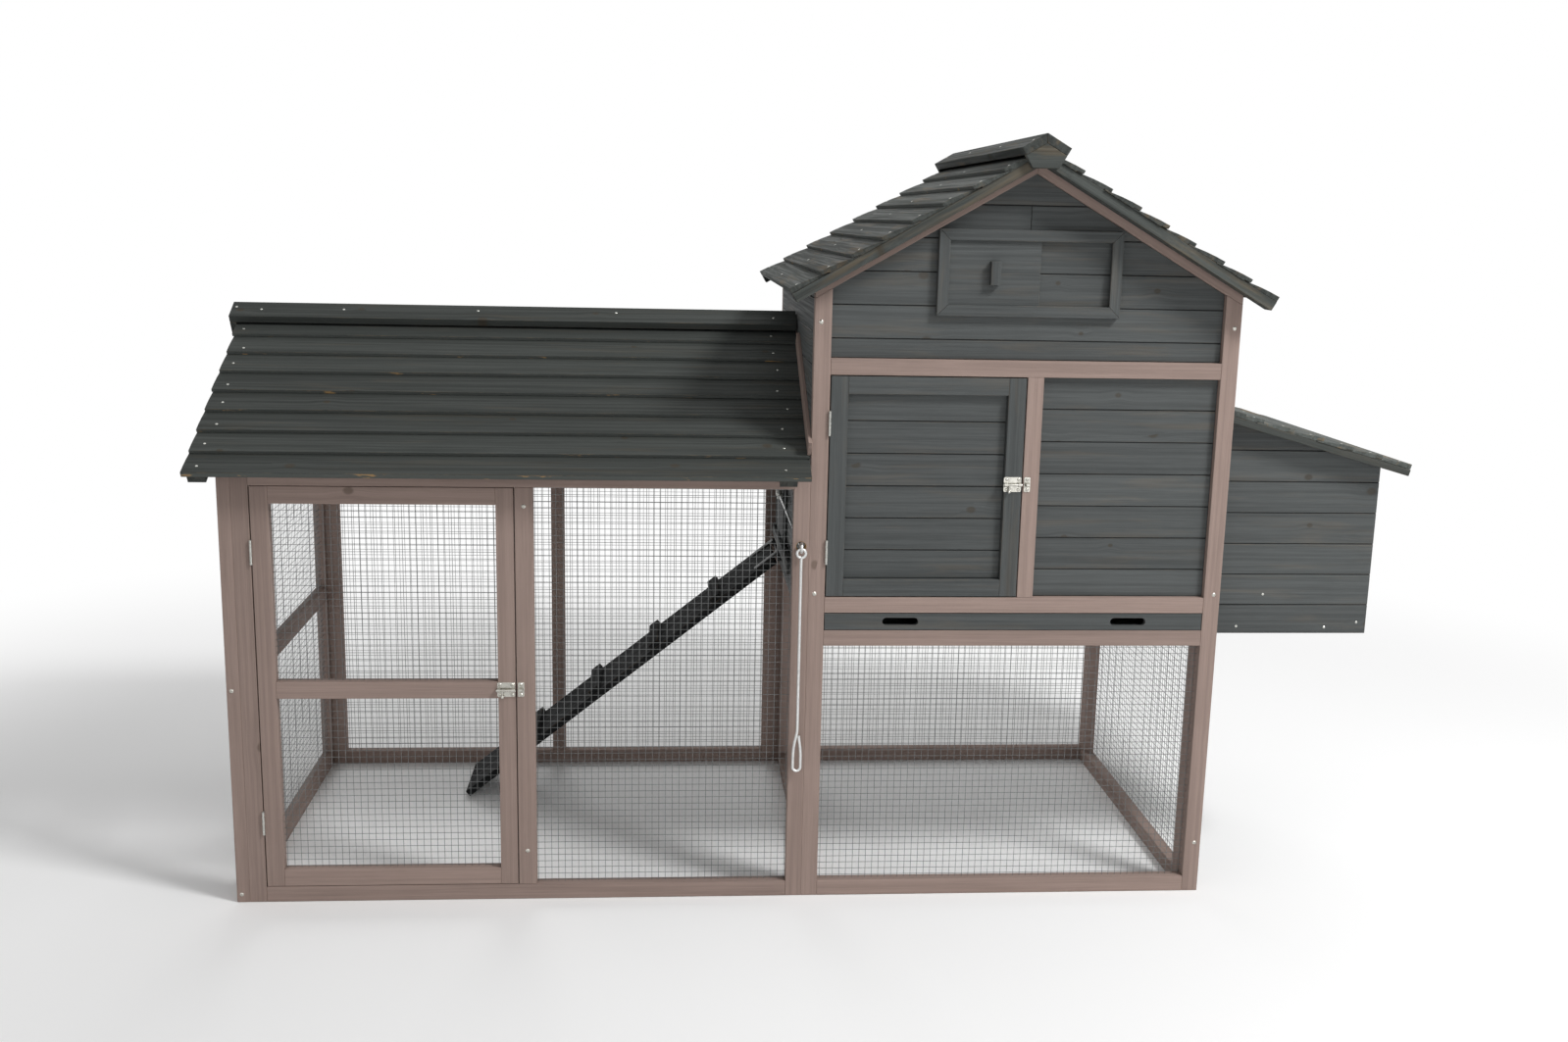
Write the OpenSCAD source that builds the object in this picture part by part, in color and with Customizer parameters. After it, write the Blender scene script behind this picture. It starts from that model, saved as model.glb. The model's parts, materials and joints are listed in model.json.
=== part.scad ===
// A timber hen house over a wire run: gabled house, lower gabled run, nest box,
// slide-out litter tray, sliding vent, ramp and a door between them drawn by a rod.
// X runs along the front, Y from front to back, Z up from the ground.

/* [Run] */
// Width of the run, from its free side to the house
run_w = 1064; // [890:1:1300]
// Height of the run's walls
run_h = 826; // [690:1:850]
// Width of the opening for the run's door
run_door_w = 471; // [390:1:565]
// Underside of the middle rail of the run's door and side
run_rail_z = 399; // [330:1:480]

/* [House] */
// Width of the house
house_w = 785; // [730:1:945]
// Depth of house and run
depth = 770; // [640:1:930]
// Height of the house's side walls at their outer face, under the rafters
house_h = 1145; // [1120:1:1370]
// Height of the wire skirt under the house
skirt_h = 500; // [470:1:520]
// Underside of the rail over the house's door
head_z = 1008; // [930:1:1010]
// Width of the opening for the house's door
house_door_w = 363; // [300:1:420]

/* [Roofs] */
// Pitch of both roofs, in degrees
pitch = 30; // [25:1:33]
// How far the decks reach past the walls at the eaves
eave = 45; // [36:1:55]
// How far the roof boards reach past the gables
verge = 45; // [36:1:55]
// Part of each roof board that shows
exposure = 61; // [51:1:70]
// Thickness of a roof board at its lower edge
shingle_t = 7; // [5:0.5:9]
// Half width of a ridge cap
cap_half = 44; // [36:1:53]
// Thickness of a ridge cap's boards
cap_t = 15; // [12:1:18]

/* [Timber] */
// Width of the frame timber
timber_w = 30; // [25:1:36]
// Thickness of the frame timber
timber_t = 24; // [20:1:28]
// Part of each wall board that shows
board_h = 60.4; // [50:0.1:72]
// Thickness of the wall boards
board_t = 10; // [8:1:12]
// How far the front and back boards lie behind the frames' faces
board_inset = 12; // [8:1:13]
// Width of the chamfer along each wall board
board_chamfer = 1.2; // [0.5:0.1:2]

/* [Doors] */
// Gap round each door
door_gap = 2; // [1.5:0.1:3]
// Width of the doors' own frames
stile_w = 32; // [26:1:38]
// Diameter of the hinge knuckles
knuckle_d = 5; // [4.5:0.1:6]
// Length of a hinge
hinge_l = 45; // [36:1:54]
// Diameter of the bolts
bolt_d = 5; // [4:0.5:6]
// Travel of the bolts
bolt_travel = 13; // [10:1:15]

/* [Tray] */
// Height of the slot for the tray
tray_h = 34; // [28:1:40]
// Gap round the tray's front
tray_gap = 1.3; // [1:0.1:2]
// Length of a finger slot in the tray's front
finger_w = 68; // [56:1:82]
// Height of a finger slot
finger_h = 15; // [12:1:18]

/* [Vent] */
// Width of the vent's frame
vent_w = 336; // [280:1:350]
// Height of the vent's frame
vent_h = 155; // [148:1:155]
// Width of the strips of the vent's frame
vent_strip = 20; // [17:1:24]
// Thickness of the vent's slide
slide_t = 6; // [5:0.5:7]

/* [Nest box] */
// How far the nest box reaches from the house
nest_w = 315; // [262:1:378]
// Height of the nest box's outer wall
nest_h = 341; // [285:1:360]
// Pitch of the nest box's lid, in degrees
lid_pitch = 15.6; // [12:0.1:18]
// How far the lid reaches past the nest box
lid_over = 45; // [36:1:54]

/* [Ramp] */
// Width of the ramp
ramp_w = 175; // [146:1:200]
// Thickness of the ramp
ramp_t = 14.5; // [12:0.5:18]
// Slope of the ramp, in degrees
ramp_slope = 38.4; // [34:0.1:46]
// Distance between the ramp's cleats along its slope
cleat_step = 170; // [140:1:204]

/* [Sliding door] */
// Width of the doorway between house and run
pop_w = 200; // [166:1:210]
// Height of the doorway
pop_h = 250; // [208:1:290]
// Diameter of the pull rod
rod_d = 5.5; // [4.5:0.1:6.6]
// Height of the pull rod
rod_z = 690; // [650:1:740]
// Length of the hanging handle, from its pin to its tip
handle_l = 434; // [360:1:500]

/* [Hidden] */
$fn = 32;

// Paints and metals
frame_paint = [0.56, 0.49, 0.46];
board_paint = [0.33, 0.35, 0.34];
roof_paint = [0.24, 0.25, 0.24];
ramp_paint = [0.13, 0.13, 0.13];
black_steel = [0.09, 0.09, 0.09];
zinc = [0.72, 0.73, 0.74];
wire = [0.62, 0.64, 0.66];

// Gap left where two pieces of timber butt
joint = 0.2;

// Roof boards: each is a wedge whose lower edge rests on the board below
shingle_top_t = 2;
shingle_lap = 14;
shingle_w = exposure + shingle_lap;
lap_share = exposure / shingle_w;
shingle_lift = (shingle_t * (1 - lap_share) + shingle_top_t * lap_share) / lap_share;
tip_n = shingle_lift + shingle_t;

// How far a roof board's top swells at the middle of its shown width, and in how many flats
crown = 1.2;
crown_steps = 3;

// Battens under the lid and under the run's roof, the house's barge boards and the ridge caps
batten_t = 12.5;
run_batten_t = 16;
barge_t = 17.5;
batten_w = 32;
ridge_gap = 1;
cap_plate_t = 12;
cap_n = tip_n + 2.4;

// Plan: the overall box is centred on the origin
lid_eave_x = lid_over + tip_n * sin(lid_pitch);
reach_left = verge + cap_plate_t;
reach_right = run_w + house_w + nest_w + lid_eave_x;
x0 = -round(10 * (reach_right - reach_left) / 2) / 10;
x1 = x0 + run_w;
x2 = x1 + house_w;
x3 = x2 + nest_w;
xc = x1 + house_w / 2;
y0 = -depth / 2;
y1 = depth / 2;
rise = tan(pitch);

// House levels
tray_z = skirt_h + timber_w;
sill_z = tray_z + tray_h;
base_z = sill_z + timber_w;
post_w = timber_w + 1;
rafter_v = timber_w / cos(pitch);
deck_z = house_h + rafter_v;
apex_z = house_h + rise * house_w / 2;
door_x = x1 + post_w;
mullion_x = door_x + house_door_w;
bay_x = x2 - post_w;
side_in = board_t + timber_t;
plate_z = deck_z - 34;
beam_h = 50;

// Run levels
run_deck_z = run_h + run_batten_t / cos(pitch);
run_apex_z = run_deck_z + rise * depth / 2;
run_post_x = x0 + timber_t;
run_door_x = run_post_x + post_w;
run_mid_x = run_door_x + run_door_w;
run_mid_w = 33;
run_end_x = x1 - timber_w;
run_top_z = run_h - timber_w + 1;
run_back_mid = run_mid_x + 11;
wall_gap = 2;
gable_inset = 3;
inner_y0 = y0 + timber_t;
inner_y1 = y1 - timber_t;

// Roofs: the lower edge of each deck and the length of its slope
house_half = house_w / 2 + eave;
house_edge_z = deck_z - eave * rise;
run_half = depth / 2 + eave;
run_edge_z = run_deck_z - eave * rise;
cap_cover = cap_half / cos(pitch);
cap_plate_w = 47;
cap_plate_drop = 28;
barge_set = 5;
run_barge_gap = 6;
run_batten_gap = 27;
strip_t = 7;
strip_from = 63;
strip_stop = 70;

// Wire netting: the gaps are drawn eight wires wide
mesh_t = 2;
mesh_step = 8 * 12.7;
mesh_bar = 2.6;
mesh_y = y0 + board_inset;
mesh_low = 6;

// Hinges and bolts
leaf_t = 0.6;
leaf_w = 18;
pin_d = 2.6;
bore_gap = 0.08;
hinge_y = y0 - knuckle_d / 2;
knuckle_l = hinge_l / 3;
bolt_y = y0 - 6;
case_t = 1.2;
case_h = 28;
keeper_w = 12;
saddle_w = 6;
saddle_h = 10;
latch_edge = 1;
bolt_out = 0.5;
knob_d = 6.5;
knob_drop = 13;
knob_gap = 1.75;
stem_d = 4.5;
case_w = 2 * (saddle_w + knob_gap) + stem_d + bolt_travel;
tail = 2;
run_latch_z = run_rail_z + 17;
house_latch_z = (base_z + head_z) / 2 + 8.5;
run_door_x1 = run_mid_x - door_gap;
house_door_x1 = mullion_x - door_gap;
run_door_z0 = timber_w + door_gap / 2;
run_door_z1 = run_top_z - door_gap / 2;
house_door_z0 = base_z + door_gap;
house_door_z1 = head_z - door_gap;

// Every door hinge on the front: its axis in X and its underside in Z
run_hinges_z = [135, run_top_z - 145];
house_hinges_z = [base_z + 63, head_z - 111];
door_hinges = [
  for (z = run_hinges_z) [run_door_x + door_gap / 2, z],
  for (z = house_hinges_z) [door_x + door_gap / 2, z]
];

// Tray
tray_front_t = 12;
pan_t = 1;
pan_h = 26;
pan_lift = 0.5;
pan_side = 2;
finger_dx = 217.5;
runner_w = 16;

// Vent
vent_off = 4;
vent_cx = xc - vent_off;
vent_under = 0.3;
vent_z = apex_z - rise * (vent_w / 2 + vent_off) - vent_h - vent_under;
vent_in_w = vent_w - 2 * vent_strip;
vent_in_x = vent_cx - vent_in_w / 2;
vent_tab = 5;
vent_gap = 0.3;
vent_front_t = board_inset - slide_t - 2 * vent_gap;
slide_share = 0.565;
slide_w = vent_in_w * slide_share;
slide_grip = [18, 42, 13];
vent_hole_x = vent_in_x + 16;
vent_hole_w = 110;
vent_hole_z = vent_z + vent_strip - 3;
gable_courses = 4;
gable_top = vent_hole_z + gable_courses * board_h;
seam_x = xc - 5;

// Nest box
nest_z = skirt_h + 11;
nest_end = 50;
nest_y0 = y0 + nest_end;
nest_y1 = y1 - nest_end;
nest_floor_t = 12;
nest_first = board_h - 3;
nest_courses = 7;
nest_top_out = nest_z + nest_h;
nest_top_in = nest_top_out + nest_w * tan(lid_pitch);
nest_post = 20;
nest_sill_z = sill_z + 20;
nest_head_z = nest_sill_z + 250;
divider_h = 140;

// Lid: S runs up its slope from the lower edge, N is square to the slope
lid_side = 30;
lid_batten = 25;
lid_wall_gap = 1.5;
lid_rest = 0.4;
lid_edge_x = x3 + lid_over;
lid_edge_z = nest_top_out + lid_rest / cos(lid_pitch) - lid_over * tan(lid_pitch);
lid_in_x = x2 + lid_wall_gap + batten_t * sin(lid_pitch);
lid_l = (lid_edge_x - lid_in_x) / cos(lid_pitch);
lid_head_w = 26;
lid_leaf_t = 0.8;
lid_pin_n = tip_n + knuckle_d / 2;
lid_pin_x = x2 + knuckle_d / 2 + lid_leaf_t / 2;
lid_pin_s = (lid_edge_x + lid_pin_n * sin(lid_pitch) - lid_pin_x) / cos(lid_pitch);
lid_pin_z = lid_edge_z + lid_pin_s * sin(lid_pitch) + lid_pin_n * cos(lid_pitch);
lid_hinges = [nest_y0 + 100, nest_y1 - 100 - hinge_l];

// Doorway between house and run, its door and its guides
pop_end = 4;
pop_y1 = inner_y1 - timber_w - pop_end;
pop_y0 = pop_y1 - pop_w;
pop_z0 = sill_z + 28;
pop_z1 = pop_z0 + pop_h;
pop_lap = 8;
pop_t = 8;
pop_gap = 1;
pop_run = 0.3;
pop_travel = pop_w + 5;
guide_h = 16;
guide_lip = 8;
guide_t = 6;
guide_past = 3;

// Pull rod and its hanging handle: two rings, one through the other
rod_x = x1 - 15;
rod_hole_d = 18;
ring_r = 8;
ring_play = 0.3;
ring_hang = ring_r - rod_d - ring_play;
eye_y = y0 - 13;
rod_reach = 60;
clip = 12;
clip_in = 4;
clip_end = 2;
loop_l = 74;
loop_r = 7.25;

// Ramp: it turns on a bar under the doorway
pivot_x = x1 - 14;
pivot_z = sill_z - 13;
ramp_clear = 1;
pivot_bar_d = 6;
pivot_gap = 0.2;
bracket_t = 4;
bracket_h = 10;
ramp_y1 = inner_y1 - 46;
ramp_y0 = ramp_y1 - ramp_w;
ramp_l = (pivot_z - ramp_clear - ramp_t / 2 * cos(ramp_slope)) / sin(ramp_slope);
ramp_end_gap = 11;
cleat_w = 25;
cleat_h = 12;
cleat_first = 187;
hook_w = 22;
hook_t = 3;
hook_l = 60;
hook_d = 12;

// Perch
perch_w = 40;
perch_h = 28;
perch_z = base_z + 110;

// Screw heads
screw_d = 7.5;
screw_t = 1.3;

// ---------- helpers ----------

// A box between two opposite corners
module block(a, b) {
  translate(a) cube(b - a);
}

// A rail along X that butts what stands at both its ends
module rail_x(a, b) {
  block(a + [joint, 0, 0], b - [joint, 0, 0]);
}

// A rail along Y that butts what stands at both its ends
module rail_y(a, b) {
  block(a + [0, joint, 0], b - [0, joint, 0]);
}

// An upright that butts what lies below and above it
module upright(a, b) {
  block(a + [0, 0, joint], b - [0, 0, joint]);
}

// A profile drawn in X and Z, run from Y = from to Y = to
module along_y(from, to) {
  translate([0, to, 0]) rotate([90, 0, 0]) linear_extrude(to - from) children();
}

// A profile drawn in Y and Z, run from X = from to X = to
module along_x(from, to) {
  translate([from, 0, 0]) rotate([90, 0, 90]) linear_extrude(to - from) children();
}

// One slope of a roof, 0 or 1: S runs up the deck from its lower edge, N is
// square to it; mid and half are the ridge's place and the span to the edge
module slope(side, mid, half, z) {
  translate([mid, z]) mirror([side, 0]) translate([-half, 0]) rotate(pitch) children();
}

// The lid's slope in the same coordinates, falling towards +X
module lid_slope() {
  translate([lid_edge_x, lid_edge_z]) mirror([1, 0]) rotate(lid_pitch) children();
}

// One wall board between two levels, in the plane of X and Z
module course_x(xs, z0, z1, face, thick) {
  along_x(xs[0] + joint, xs[1] - joint) board_profile(face, z0 + joint, z1, thick);
}

// One wall board between two levels, in the plane of Y and Z
module course_y(ys, z0, z1, face, thick) {
  along_y(ys[0] + joint, ys[1] - joint) board_profile(face, z0 + joint, z1, thick);
}

// The section of a wall board: its chamfered face at face, its body towards thick
module board_profile(face, z0, z1, thick) {
  c = board_chamfer;
  s = sign(thick);
  polygon([
    [face + s * c, z0], [face + thick, z0], [face + thick, z1],
    [face + s * c, z1], [face, z1 - c], [face, z0 + c]
  ]);
}

// The levels of the courses between z0 and z1, counted down from the joint at top
function courses(z0, z1, top) = [
  for (k = [floor((top - z1) / board_h) : ceil((top - z0) / board_h) - 1])
    let (a = max(z0, top - (k + 1) * board_h), b = min(z1, top - k * board_h))
      if (b - a > 4 * board_chamfer) [a, b]
];

// A wall of boards in the plane of X and Z, cut to the shape of its children
module boards_x(xs, zs, top, face, thick) {
  for (c = courses(zs[0], zs[1], top)) {
    if ($children == 0) course_x(xs, c[0], c[1], face, thick);
    else intersection() {
      course_x(xs, c[0], c[1], face, thick);
      children();
    }
  }
}

// A wall of boards in the plane of Y and Z, cut to the shape of its children
module boards_y(ys, zs, top, face, thick) {
  for (c = courses(zs[0], zs[1], top)) {
    if ($children == 0) course_y(ys, c[0], c[1], face, thick);
    else intersection() {
      course_y(ys, c[0], c[1], face, thick);
      children();
    }
  }
}

// Wire netting in a square sheet w by h, its edge bars left whole
module net(w, h) {
  nx = max(1, round(w / mesh_step));
  nz = max(1, round(h / mesh_step));
  px = (w - mesh_bar) / nx;
  pz = (h - mesh_bar) / nz;
  linear_extrude(mesh_t)
    difference() {
      square([w, h]);
      for (i = [0 : nx - 1], j = [0 : nz - 1])
        translate([mesh_bar + i * px, mesh_bar + j * pz])
          square([px - mesh_bar, pz - mesh_bar]);
    }
}

// Netting that stands in the plane of X and Z, from face y towards +Y
module net_x(xs, zs, y) {
  translate([xs[0], y + mesh_t, zs[0]]) rotate([90, 0, 0]) net(xs[1] - xs[0], zs[1] - zs[0]);
}

// Netting that stands in the plane of Y and Z, from face x towards +X
module net_y(ys, zs, x) {
  translate([x, ys[0], zs[0]]) rotate([90, 0, 90]) net(ys[1] - ys[0], zs[1] - zs[0]);
}

// How high the top of a roof board is over the deck, u up the slope from its lower edge
function shingle_top(u) =
  tip_n - (tip_n - shingle_top_t) * u / shingle_w
  + (u < exposure ? 4 * crown * u * (exposure - u) / pow(exposure, 2) : 0);

// The section of roof board k on a slope of length len: a crowned wedge on the deck, and its
// lower edge is rebated over the board below
module shingle(k, len) {
  w = min(shingle_w, len - k * exposure);
  lap = min(shingle_lap, w / 2);
  shown = min(exposure, w);
  under = k == 0 ? [[0, joint]] : [
    [0, shingle_top(exposure) + joint], [lap, shingle_top(exposure + lap) + joint], [lap + joint, joint]
  ];
  hidden = w > shown ? [[w, shingle_top(w)]] : [];
  over = [for (i = [crown_steps : -1 : 0]) [shown * i / crown_steps, shingle_top(shown * i / crown_steps)]];
  translate([k * exposure, 0]) polygon(concat(under, [[w, joint]], hidden, over));
}

// How many rows show below whatever covers the top of the slope
function rows(len, covered) = ceil((len - covered) / exposure);

// The section of a batten under the deck, its upper end plumb and stop away from the ridge
module batten_profile(half, t, from, stop) {
  end = (half - stop - joint) / cos(pitch);
  polygon([[from, -t], [end - t * rise, -t], [end, 0], [from, 0]]);
}

// The section of one board of a ridge cap, on the side of +1 or -1
module cap_board(side, mid, z) {
  far = (cap_half - joint - (cap_n + cap_t) * sin(pitch)) / cos(pitch);
  top = cap_n + cap_t;
  translate([mid, z]) mirror([side < 0 ? 1 : 0, 0]) translate([joint, 0]) rotate(-pitch)
    polygon([[-cap_n * rise, cap_n], [far, cap_n], [far, top], [-top * rise, top]]);
}

// The section of the plate that closes the end of a ridge cap
module cap_plate(mid, z) {
  far = (cap_half - (cap_n + cap_t) * sin(pitch)) + cap_n * sin(pitch);
  top = cap_n / cos(pitch) - joint;
  translate([mid, z])
    polygon([
      [-cap_plate_w / 2, -cap_plate_drop], [cap_plate_w / 2, -cap_plate_drop],
      [far, top - far * rise], [0, top], [-far, top - far * rise]
    ]);
}

// The section of a ridge beam under the deck
module beam_profile(mid, z) {
  u = timber_t / 2;
  translate([mid, z])
    polygon([[-u, -beam_h], [u, -beam_h], [u, -u * rise], [0, 0], [-u, -u * rise]]);
}

// A gabled end of the house in the plane of X and Z: posts, rails and rafters
module house_end(from, to) {
  half = house_w / 2;
  for (side = [0, 1])
    along_y(from, to) translate([xc, 0]) mirror([side, 0]) translate([-half, 0])
      polygon([[0, 0], [post_w, 0], [post_w, house_h + post_w * rise - joint],
        [0, house_h - joint]]);
  for (side = [0, 1])
    along_y(from, to) translate([xc, house_h]) mirror([side, 0]) translate([-half, 0])
      polygon([[0, 0], [half - joint, (half - joint) * rise],
        [half - joint, (half - joint) * rise + rafter_v], [0, rafter_v]]);
  for (z = [0, skirt_h, head_z])
    rail_x([door_x, from, z], [bay_x, to, z + timber_w]);
}

// The space under the rafters of the house's gables
module gable_space(from, to) {
  shoulder = house_h + post_w * rise - joint;
  along_y(from, to)
    polygon([[door_x, 0], [bay_x, 0], [bay_x, shoulder], [xc, apex_z - joint],
      [door_x, shoulder]]);
}

// The space under the nest box's lid
module nest_space() {
  along_y(y0, y1)
    polygon([[x2, nest_z], [x3, nest_z], [x3, nest_top_out], [x2, nest_top_in]]);
}

// A round bar between two points
module bar(a, b, d) {
  v = b - a;
  l = norm(v);
  translate(a) rotate([0, acos(v[2] / l), atan2(v[1], v[0])]) cylinder(d = d, h = l);
}

// A ring of wire, its axis along Z, over the given angle
module ring(r, d, angle = 360) {
  rotate_extrude(angle = angle) translate([r, 0]) circle(d = d);
}

// A rectangular door frame: two stiles and the rails between them
module door_frame(x, z, w, h, rails) {
  for (dx = [0, w - stile_w])
    block([x + dx, y0, z], [x + dx + stile_w, y0 + timber_t, z + h]);
  for (r = rails)
    rail_x([x + stile_w, y0, r], [x + w - stile_w, y0 + timber_t, r + stile_w]);
}

// One side of a door hinge: side -1 is the frame's leaf, side 1 the door's
module door_leaf(x, z, side) {
  gap = door_gap / 2;
  edge = side < 0 ? x - gap : x + gap - leaf_t;
  difference() {
    union() {
      block([edge, y0, z], [edge + leaf_t, y0 + leaf_w, z + hinge_l]);
      for (dz = side < 0 ? [0, 2 * knuckle_l] : [knuckle_l]) {
        translate([x, hinge_y, z + dz]) cylinder(d = knuckle_d, h = knuckle_l);
        block([edge, hinge_y + pin_d / 2, z + dz], [edge + leaf_t, y0, z + dz + knuckle_l]);
      }
    }
    translate([x, hinge_y, z - 1]) cylinder(d = pin_d + 2 * bore_gap, h = hinge_l + 2);
  }
}

// A bolt's base plate with a bored saddle at each place in saddles
module latch_plate(x, z, w, saddles) {
  block([x, y0 - case_t, z - case_h / 2], [x + w, y0, z + case_h / 2]);
  for (s = saddles)
    difference() {
      block([x + s, y0 - saddle_h, z - saddle_h / 2],
        [x + s + saddle_w, y0 - case_t - joint, z + saddle_h / 2]);
      translate([x + s - 1, bolt_y, z]) rotate([0, 90, 0])
        cylinder(d = bolt_d + 2 * bore_gap, h = saddle_w + 2);
    }
}

// A sliding bolt with its knob hanging down, drawn back
module latch_bolt(x, z) {
  tip = x + case_w + latch_edge + bolt_out;
  knob = x + saddle_w + knob_gap + stem_d / 2;
  bar([x - tail, bolt_y, z], [tip, bolt_y, z], bolt_d);
  bar([knob, bolt_y, z - knob_drop], [knob, bolt_y, z], stem_d);
  translate([knob, bolt_y, z - knob_drop]) sphere(d = knob_d);
}

// ---------- run ----------

module run_side_frame() {
  color(frame_paint) {
    for (y = [y0, y1 - timber_w])
      block([x0, y, 0], [x0 + timber_t, y + timber_w, run_h]);
    for (z = [0, run_rail_z, run_h - timber_w])
      rail_y([x0, y0 + timber_w, z], [x0 + timber_t, y1 - timber_w, z + timber_w]);
  }
}

module run_front_frame() {
  color(frame_paint) {
    block([run_post_x, y0, 0], [run_door_x, inner_y0, run_h]);
    difference() {
      block([run_end_x, y0, 0], [x1, inner_y0, run_h]);
      bar([rod_x, y0 - 1, rod_z], [rod_x, inner_y0 + 1, rod_z], rod_hole_d);
    }
    rail_x([run_door_x, y0, 0], [run_end_x, inner_y0, timber_w]);
    rail_x([run_door_x, y0, run_top_z], [run_end_x, inner_y0, run_h]);
    upright([run_mid_x, y0, timber_w], [run_mid_x + run_mid_w, inner_y0, run_top_z]);
  }
}

module run_back_frame() {
  color(frame_paint) {
    block([run_post_x, inner_y1, 0], [run_door_x, y1, run_h]);
    block([run_end_x, inner_y1, 0], [x1, y1, run_h]);
    rail_x([run_door_x, inner_y1, 0], [run_end_x, y1, timber_w]);
    rail_x([run_door_x, inner_y1, run_top_z], [run_end_x, y1, run_h]);
    upright([run_back_mid, inner_y1, timber_w], [run_back_mid + timber_w, y1, run_top_z]);
  }
}

module run_gable_frame() {
  foot = (run_h + rafter_v - run_deck_z) / rise;
  color(frame_paint) {
    for (side = [0, 1])
      along_x(x0, x0 + timber_t) mirror([side, 0])
        polygon([[y0, run_h + joint], [y0 + foot, run_h + joint],
          [-joint, run_apex_z - rafter_v], [-joint, run_apex_z], [y0, run_deck_z]]);
    for (side = [0, 1])
      along_x(x1 - strip_t, x1) slope(side, 0, run_half, run_edge_z)
        translate([strip_from, tip_n + joint])
          square([(run_half - strip_stop) / cos(pitch) - strip_from, timber_w]);
  }
}

module run_gable_boards() {
  foot = (run_h + rafter_v - run_deck_z) / rise;
  color(board_paint)
    boards_y([y0 + foot, y1 - foot], [run_h, run_apex_z - rafter_v], run_h + 4 * board_h,
      x0 + gable_inset, board_t)
      along_x(x0, x1) gable_triangle(foot);
}

// The triangle between the run's gable rafters
module gable_triangle(foot) {
  polygon([[y0 + foot + joint, run_h], [y1 - foot - joint, run_h],
    [0, run_apex_z - rafter_v - joint]]);
}

module run_side_mesh() {
  ys = [y0 + timber_w, y1 - timber_w];
  color(wire) {
    net_y(ys, [timber_w, run_rail_z], x0 + board_inset);
    net_y(ys, [run_rail_z + timber_w, run_h - timber_w], x0 + board_inset);
  }
}

module front_mesh() {
  color(wire) {
    net_x([run_mid_x + run_mid_w, run_end_x], [timber_w, run_top_z], mesh_y);
    net_x([door_x, bay_x], [timber_w, skirt_h], mesh_y);
  }
}

module back_mesh() {
  y = y1 - board_inset - mesh_t;
  color(wire) {
    net_x([run_door_x, run_back_mid], [timber_w, run_top_z], y);
    net_x([run_back_mid + timber_w, run_end_x], [timber_w, run_top_z], y);
    net_x([door_x, bay_x], [timber_w, skirt_h], y);
  }
}

module run_roof_boards() {
  len = run_half / cos(pitch) - ridge_gap;
  color(roof_paint)
    for (side = [0, 1], k = [0 : rows(len, cap_cover) - 1])
      along_x(x0 - verge, x1 - wall_gap) slope(side, 0, run_half, run_edge_z) shingle(k, len);
}

module run_roof_battens() {
  outer = x0 - run_barge_gap - batten_w;
  right = x1 - run_batten_gap - batten_w;
  color(roof_paint)
    for (side = [0, 1]) {
      along_x(outer, outer + batten_w) slope(side, 0, run_half, run_edge_z)
        batten_profile(run_half, run_batten_t, barge_set, 0);
      for (x = [(x0 + x1 - batten_w) / 2, right])
        along_x(x, x + batten_w) slope(side, 0, run_half, run_edge_z)
          batten_profile(run_half, run_batten_t, x < right ? eave : barge_set, timber_t / 2);
    }
}

module run_ridge_cap() {
  from = x0 - verge - cap_plate_t;
  color(roof_paint) {
    for (side = [-1, 1])
      along_x(from, x1 - wall_gap) cap_board(side, 0, run_apex_z);
    along_x(from, from + cap_plate_t) cap_plate(0, run_apex_z);
  }
}

module ridge_beams() {
  color(frame_paint) {
    along_x(x0 + timber_t, x1) beam_profile(0, run_apex_z);
    along_y(inner_y0, inner_y1) beam_profile(xc, apex_z + rafter_v);
  }
}

module run_door_frame() {
  w = run_door_w - 2 * door_gap;
  color(frame_paint)
    door_frame(run_door_x + door_gap, run_door_z0, w, run_door_z1 - run_door_z0,
      [run_door_z0, run_rail_z, run_door_z1 - stile_w]);
}

module run_door_mesh() {
  xs = [run_door_x + door_gap + stile_w, run_door_x1 - stile_w];
  color(wire) {
    net_x(xs, [run_door_z0 + stile_w, run_rail_z], mesh_y);
    net_x(xs, [run_rail_z + stile_w, run_door_z1 - stile_w], mesh_y);
  }
}

module run_door_leaves() {
  color(zinc) for (z = run_hinges_z) door_leaf(run_door_x + door_gap / 2, z, 1);
}

module run_latch_case() {
  color(zinc)
    latch_plate(run_door_x1 - latch_edge - case_w, run_latch_z, case_w, [0, case_w - saddle_w]);
}

module run_latch_bolt() {
  color(zinc) latch_bolt(run_door_x1 - latch_edge - case_w, run_latch_z);
}

// ---------- house ----------

module house_front_frame() {
  color(frame_paint) {
    house_end(y0, inner_y0);
    rail_x([door_x, y0, sill_z], [bay_x, inner_y0, base_z]);
    upright([mullion_x, y0, base_z], [mullion_x + timber_w, inner_y0, head_z]);
  }
}

module house_back_frame() {
  color(frame_paint) {
    house_end(inner_y1, y1);
    upright([mullion_x, inner_y1, tray_z], [mullion_x + timber_w, y1, head_z]);
  }
}

// A side of the house: stiles, rails and the plate that carries the roof boards
module house_side(side) {
  ys = [inner_y0, inner_y1 - timber_w];
  translate([xc, 0, 0]) mirror([side, 0, 0]) translate([-house_w / 2 + board_t, 0, 0]) {
    for (y = ys)
      block([0, y, 0], [timber_t, y + timber_w, plate_z]);
    for (z = [0, skirt_h])
      rail_y([0, inner_y0 + timber_w, z], [timber_t, inner_y1 - timber_w, z + timber_w]);
    along_y(inner_y0, inner_y1)
      polygon([[0, plate_z + joint], [timber_t, plate_z + joint],
        [timber_t, deck_z + side_in * rise], [0, deck_z + board_t * rise]]);
  }
}

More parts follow.
